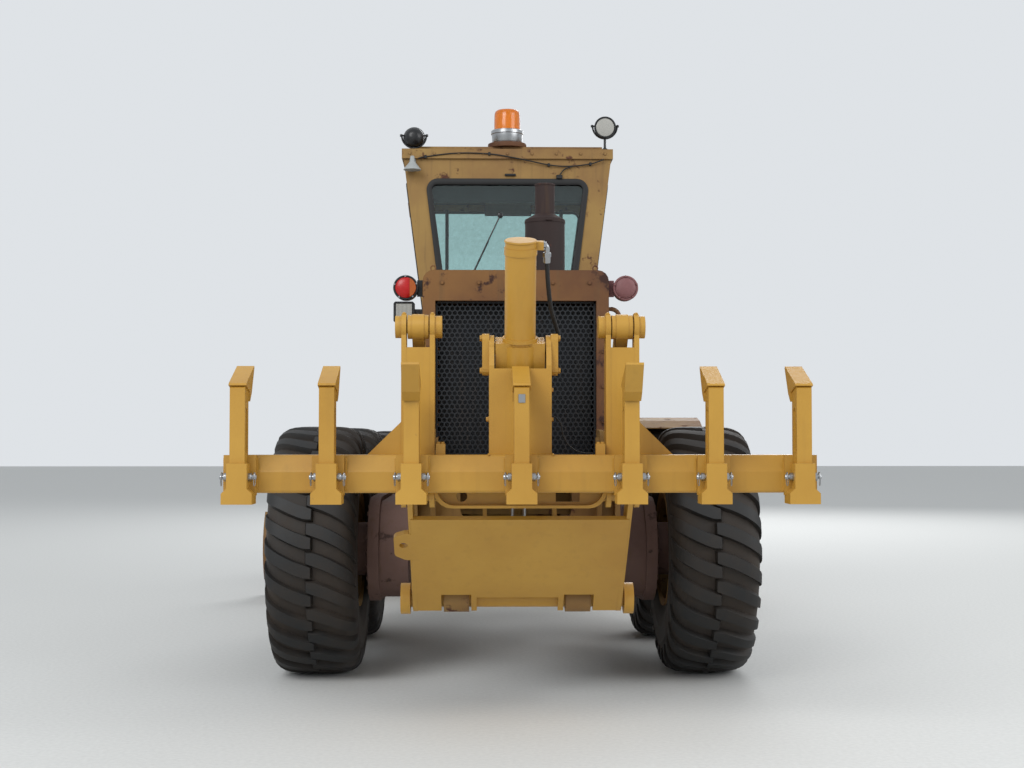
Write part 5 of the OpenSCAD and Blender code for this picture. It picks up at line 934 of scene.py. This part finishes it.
# %% Exhaust bands
stack_low, stack_high = corners_of("exhaust")
stack_at = (stack_low + stack_high) / 2 * (1, 1, 0)
bands = []
for z in (stack_low[2] + 0.104, stack_low[2] + 0.436):
    bands += [revolved([(0.1245, z), (0.1285, z + 0.001), (0.1285, z + 0.017), (0.1245, z + 0.018)], 48, stack_at,
                       closed=True),
              swept([stack_at + (0, -0.134, z + 0.009), stack_at + (0.040, -0.128, z + 0.009)], 0.005, 8)]
bands.append(revolved([(0.0610, -0.012), (0.0655, -0.010), (0.0655, 0.000), (0.0610, 0.002)], 40,
                      stack_at + (0, 0, stack_high[2]), closed=True))
piece("exhaust_bands", bands, heat_brown, "rear_body")
print("exhaust bands:", len(bands))

# %% Blade bolts
# the moldboard is an arc in the Y-Z plane, and the cutting edge lies along the chord of its last 11 degrees
arc_centre, arc_radius = np.array([1.849, 0.425]), 0.420
before, last = [arc_centre + arc_radius * np.array([math.cos(a), math.sin(a)]) for a in np.radians([208.33, 219.13])]
along = (last - before) / np.linalg.norm(last - before)
inward = np.array([-along[1], along[0]])
front, back = last + 0.0190 * inward - 0.015 * along, last - 0.0245 * inward - 0.030 * along
places = np.arange(-13, 14) * 0.157
dome = [(0.0150, -0.001), (0.0150, 0.001), (0.0120, 0.0045), (0.002, 0.0055)]
piece("edge_bolts", [revolved(dome, 20, (x, *front), (0, *inward)) for x in places], bright_steel, "blade")
piece("edge_nuts", [bolts([(x, *back) for x in places], (0, *-inward), 0.030, 0.018)], fresh_enamel, "blade")
print("edge bolts:", len(places))

# %% Cotter pins, case bolts
def cotter(at):
    """A split pin that hangs down, its two legs bent apart."""
    at = np.asarray(at, float)
    leg = np.array([(0, 0, 0.012), (0.002, 0, 0), (0.003, 0, -0.018), (0.009, 0, -0.028)])
    return [swept(smooth_path(at + leg * (s, 1, 1), 4), 0.0030, 6) for s in (-1, 1)]

piece("link_cotters", [leg for x in (-0.528, 0.528) for leg in cotter((x, -4.207, 0.597))], bright_steel,
      "ripper_lower")
piece("lug_cotters", [leg for x in (-0.345, -0.285, 0.285, 0.345) for leg in cotter((x, -4.190, 0.592))],
      bright_steel, "rear_body")
# nine bolts on the outer half of each cover: round the back of the rear one and the front of the middle one
around = [(wheel_y + 0.270 * math.cos(a), 0.745 + 0.270 * math.sin(a))
          for wheel_y, middle in ((-2.857, 180), (-1.201, 0)) for a in np.radians(middle - 72 + np.arange(9) * 18.0)]
piece("case_bolts", [bolts([(s * 0.862, y, z) for y, z in around], (s, 0, 0), 0.022, 0.010) for s in (1, -1)],
      case_dust_and_sunlight, "rear_body")
print("case bolts:", 2 * len(around))

# %% Lever knobs and windscreen bars
knob, knobs = [(0.006, -0.020), (0.012, -0.014), (0.015, 0.0), (0.012, 0.011), (0.003, 0.015)], []
for s, i in [(s, i) for s in (-1, 1) for i in range(5)]:
    start = np.array([s * (0.070 + 0.016 * i), 0.108 - 0.006 * i, 2.27])
    end = np.array([s * (0.170 + 0.034 * i), -0.002 - 0.010 * i, 2.47])
    knobs.append(revolved(knob, 16, end, end - start))
piece("lever_knobs", knobs, black_rubber, "front_body")
piece("windscreen_bars", [block((s * 0.456, cab_front - 0.058, 2.290), (s * 0.484, cab_front - 0.026, 3.296), 0.004)
                          for s in (-1, 1)], seat_vinyl, "front_body")
print("pieces so far:", len(pieces_made), "triangles:", sum(pieces_made.values()))

# %% [markdown]
# ## Driver's seat
# A seat of this kind has foam cushions under vinyl. The cushions start a little too small and are blown up by a
# cloth simulation, so that their sides bulge and their faces crown. A cap on the movement keeps them inside the
# seat's real size. The sewn channels are pressed in afterwards, because the remesh would erase them.

# %% Cushions
def stuffed(name, shape, cap, press):
    """A cushion: its shape remeshed at 9 mm, blown up as cloth for 20 frames and moved no further than cap."""
    pad = piece(name, [shape], seat_vinyl, "front_body", ["seat"], sharp=80)
    remesh = pad.modifiers.new("voxels", "REMESH")
    remesh.mode, remesh.voxel_size = "VOXEL", 0.009
    mesh = bpy.data.meshes.new_from_object(pad.evaluated_get(bpy.context.evaluated_depsgraph_get()))
    pad.modifiers.remove(remesh)
    pad.data = mesh
    rest = np.empty(len(mesh.vertices) * 3, np.float32)
    mesh.vertices.foreach_get("co", rest)
    rest = rest.reshape(-1, 3)
    cloth = pad.modifiers.new("air", "CLOTH")
    cloth.settings.use_pressure, cloth.settings.uniform_pressure_force = True, 4.0
    cloth.settings.effector_weights.gravity = 0.0
    for frame_number in range(1, 21):
        bpy.context.scene.frame_set(frame_number)
    blown = np.empty(len(rest) * 3, np.float32)
    pad.evaluated_get(bpy.context.evaluated_depsgraph_get()).data.vertices.foreach_get("co", blown)
    pad.modifiers.remove(cloth)
    bpy.context.scene.frame_set(1)
    move = blown.reshape(-1, 3) - rest
    far = np.linalg.norm(move, axis=1, keepdims=True)
    points = rest + move * np.minimum(1, cap / np.maximum(far, 1e-6))
    mesh.vertices.foreach_set("co", press(points).astype(np.float32).ravel())
    mesh.polygons.foreach_set("use_smooth", np.ones(len(mesh.polygons), bool))
    mesh.update()
    pad.modifiers.new("smooth", "SUBSURF").levels = 1

# %% The seat cushion
seat_y = cab_rear + 0.500
def press_cushion(p):
    """Two channels from front to back, 7 mm deep, each a bell curve 8 mm wide; the underside stays flat."""
    across = np.minimum(np.abs(p[:, 0] - 0.085), np.abs(p[:, 0] + 0.085))
    top = np.clip((p[:, 2] - 1.880) / 0.03, 0, 1)
    q = p.copy()
    q[:, 2] = np.clip(p[:, 2] - 0.007 * np.exp(-(across / 0.008) ** 2) * top, 1.8105, 1.9295)
    return q

stuffed("seat_cushion", block((-0.226, seat_y - 0.216, 1.812), (0.226, seat_y + 0.246, 1.915), 0.030), 0.013,
        press_cushion)

# %% The seat back
back_low, back_high = np.array([seat_y - 0.185, 1.905]), np.array([seat_y - 0.248, 2.520])
rise = (back_high - back_low) / np.linalg.norm(back_high - back_low)
out = np.array([rise[1], -rise[0]])
def back_shape(half, thick):
    """A slab with rounded corners that leans back like the seat's solid: four outlines, the outer two drawn in
    towards the middle at height 0.308 m, stand one behind another along the slab's normal."""
    ring = rounded([(half, 0.604), (-half, 0.604), (-half, 0.012), (half, 0.012)], 0.060)
    rings = []
    for depth, inset in ((-thick, 0.030), (-thick * 0.6, 0.006), (thick * 0.6, 0.006), (thick, 0.030)):
        u, v = ring[:, 0] * (1 - inset / half), (ring[:, 1] - 0.308) * (1 - inset / 0.296) + 0.308
        rings.append(np.column_stack([u, back_low + v[:, None] * rise + depth * out]))
    return np.concatenate(rings), stacked(len(rings), len(ring))

def press_back(p):
    """Three channels across the front of the back, 6 mm deep."""
    height, face = (p[:, 1:] - back_low) @ rise, (p[:, 1:] - back_low) @ out
    near = np.min(np.abs(height[:, None] - np.array([0.16, 0.31, 0.46])), axis=1)
    q = p.copy()
    q[:, 1:] -= 0.006 * (np.exp(-(near / 0.008) ** 2) * np.clip((face - 0.02) / 0.02, 0, 1))[:, None] * out
    return q

stuffed("seat_back", back_shape(0.218, 0.040), 0.011, press_back)

# %% Bellows and pan under the seat
bellows = [(0.092 + 0.010 * (k % 2), 1.552 + 0.0175 * k) for k in range(15)]
piece("seat_bellows", [revolved(bellows, 40, (0, seat_y, 0))], black_rubber, "front_body", ["seat"],
      sharp=80)
pan = [block((-0.205, seat_y - 0.210, 1.797), (0.205, seat_y + 0.230, 1.812), 0.004),
       block((-0.060, seat_y - 0.262, 1.800), (0.060, seat_y - 0.200, 1.840), 0.004),
       block((-0.030, seat_y - 0.268, 1.820), (0.030, seat_y - 0.240, 2.120), 0.004)]
piece("seat_pan", pan, black_gloss, "front_body", ["seat"])
print("pieces so far:", len(pieces_made), "triangles:", sum(pieces_made.values()))

# %% [markdown]
# ## Floor, light and camera
# A pale floor, a large soft key lamp behind and left of the camera, a softer fill on the right, one lamp in
# front of the machine for its far side, and a pale world. The world is brighter where the camera, gloss or glass
# sees it than where it lights the machine, so that the backdrop is pale and the paint keeps its colour. The
# camera stands where the photograph was taken: 9.2 m behind the rear wheels, 0.19 m left of the middle and
# 1.43 m up, with a lens of 52.7 mm on a 36 mm wide frame.

# %% Floor and world
floor_mesh = bpy.data.meshes.new("floor")
floor_mesh.from_pydata([(-60, -60, 0), (60, -60, 0), (60, 60, 0), (-60, 60, 0)], [], [(0, 1, 2, 3)])
floor = bpy.data.objects.new("floor", floor_mesh)
bpy.context.scene.collection.objects.link(floor)
floor_mesh.materials.append(plain("pale studio floor", "#d9dad8", 0.9))

world = bpy.data.worlds.new("studio")
bpy.context.scene.world = world
world.use_nodes = True
sky = world.node_tree.nodes["Background"]
path = add(world.node_tree, "ShaderNodeLightPath")
direct = add(world.node_tree, "ShaderNodeMath", {0: path.outputs["Is Camera Ray"], 1: path.outputs["Is Glossy Ray"]},
             operation="MAXIMUM")
seen = add(world.node_tree, "ShaderNodeMath", {0: direct.outputs[0], 1: path.outputs["Is Transmission Ray"]},
           operation="MAXIMUM")
strength = add(world.node_tree, "ShaderNodeMapRange", {"Value": seen.outputs[0], "To Min": 0.75, "To Max": 0.95})
sky.inputs["Color"].default_value = linear("#e4e8ec")
world.node_tree.links.new(strength.outputs[0], sky.inputs["Strength"])
print("floor 120 m wide, world strength 0.75 as light and 0.95 as seen")

# %% Lamps and camera
def lamp(name, place, aim, size, power):
    """A square area lamp at place that faces aim."""
    data = bpy.data.lights.new(name, "AREA")
    data.size, data.energy = size, power
    made = bpy.data.objects.new(name, data)
    bpy.context.scene.collection.objects.link(made)
    made.location = place
    made.visible_transmission = False  # or each window would show the lamp behind it as a white patch
    made.rotation_euler = (Vector(aim) - Vector(place)).to_track_quat("-Z", "Y").to_euler()

lamp("key", (-8, -15, 11), (0, -2, 1), 9, 1500)
lamp("fill", (11, -9, 7), (0, 0, 1), 8, 700)
lamp("front", (4, 14, 9), (0, 2, 1), 8, 900)

camera_data = bpy.data.cameras.new("camera")
camera_data.lens, camera_data.sensor_width = 52.7, 36
camera = bpy.data.objects.new("camera", camera_data)
bpy.context.scene.collection.objects.link(camera)
camera.location = (-0.188, centre_of["tyre_rear_left"][1] - 9.2, 1.43)
camera.rotation_euler = (math.radians(92.0), 0, math.radians(-1.18))
bpy.context.scene.camera = camera
bpy.context.scene.view_settings.view_transform = "Standard"
print("camera at", [round(v, 3) for v in camera.location])
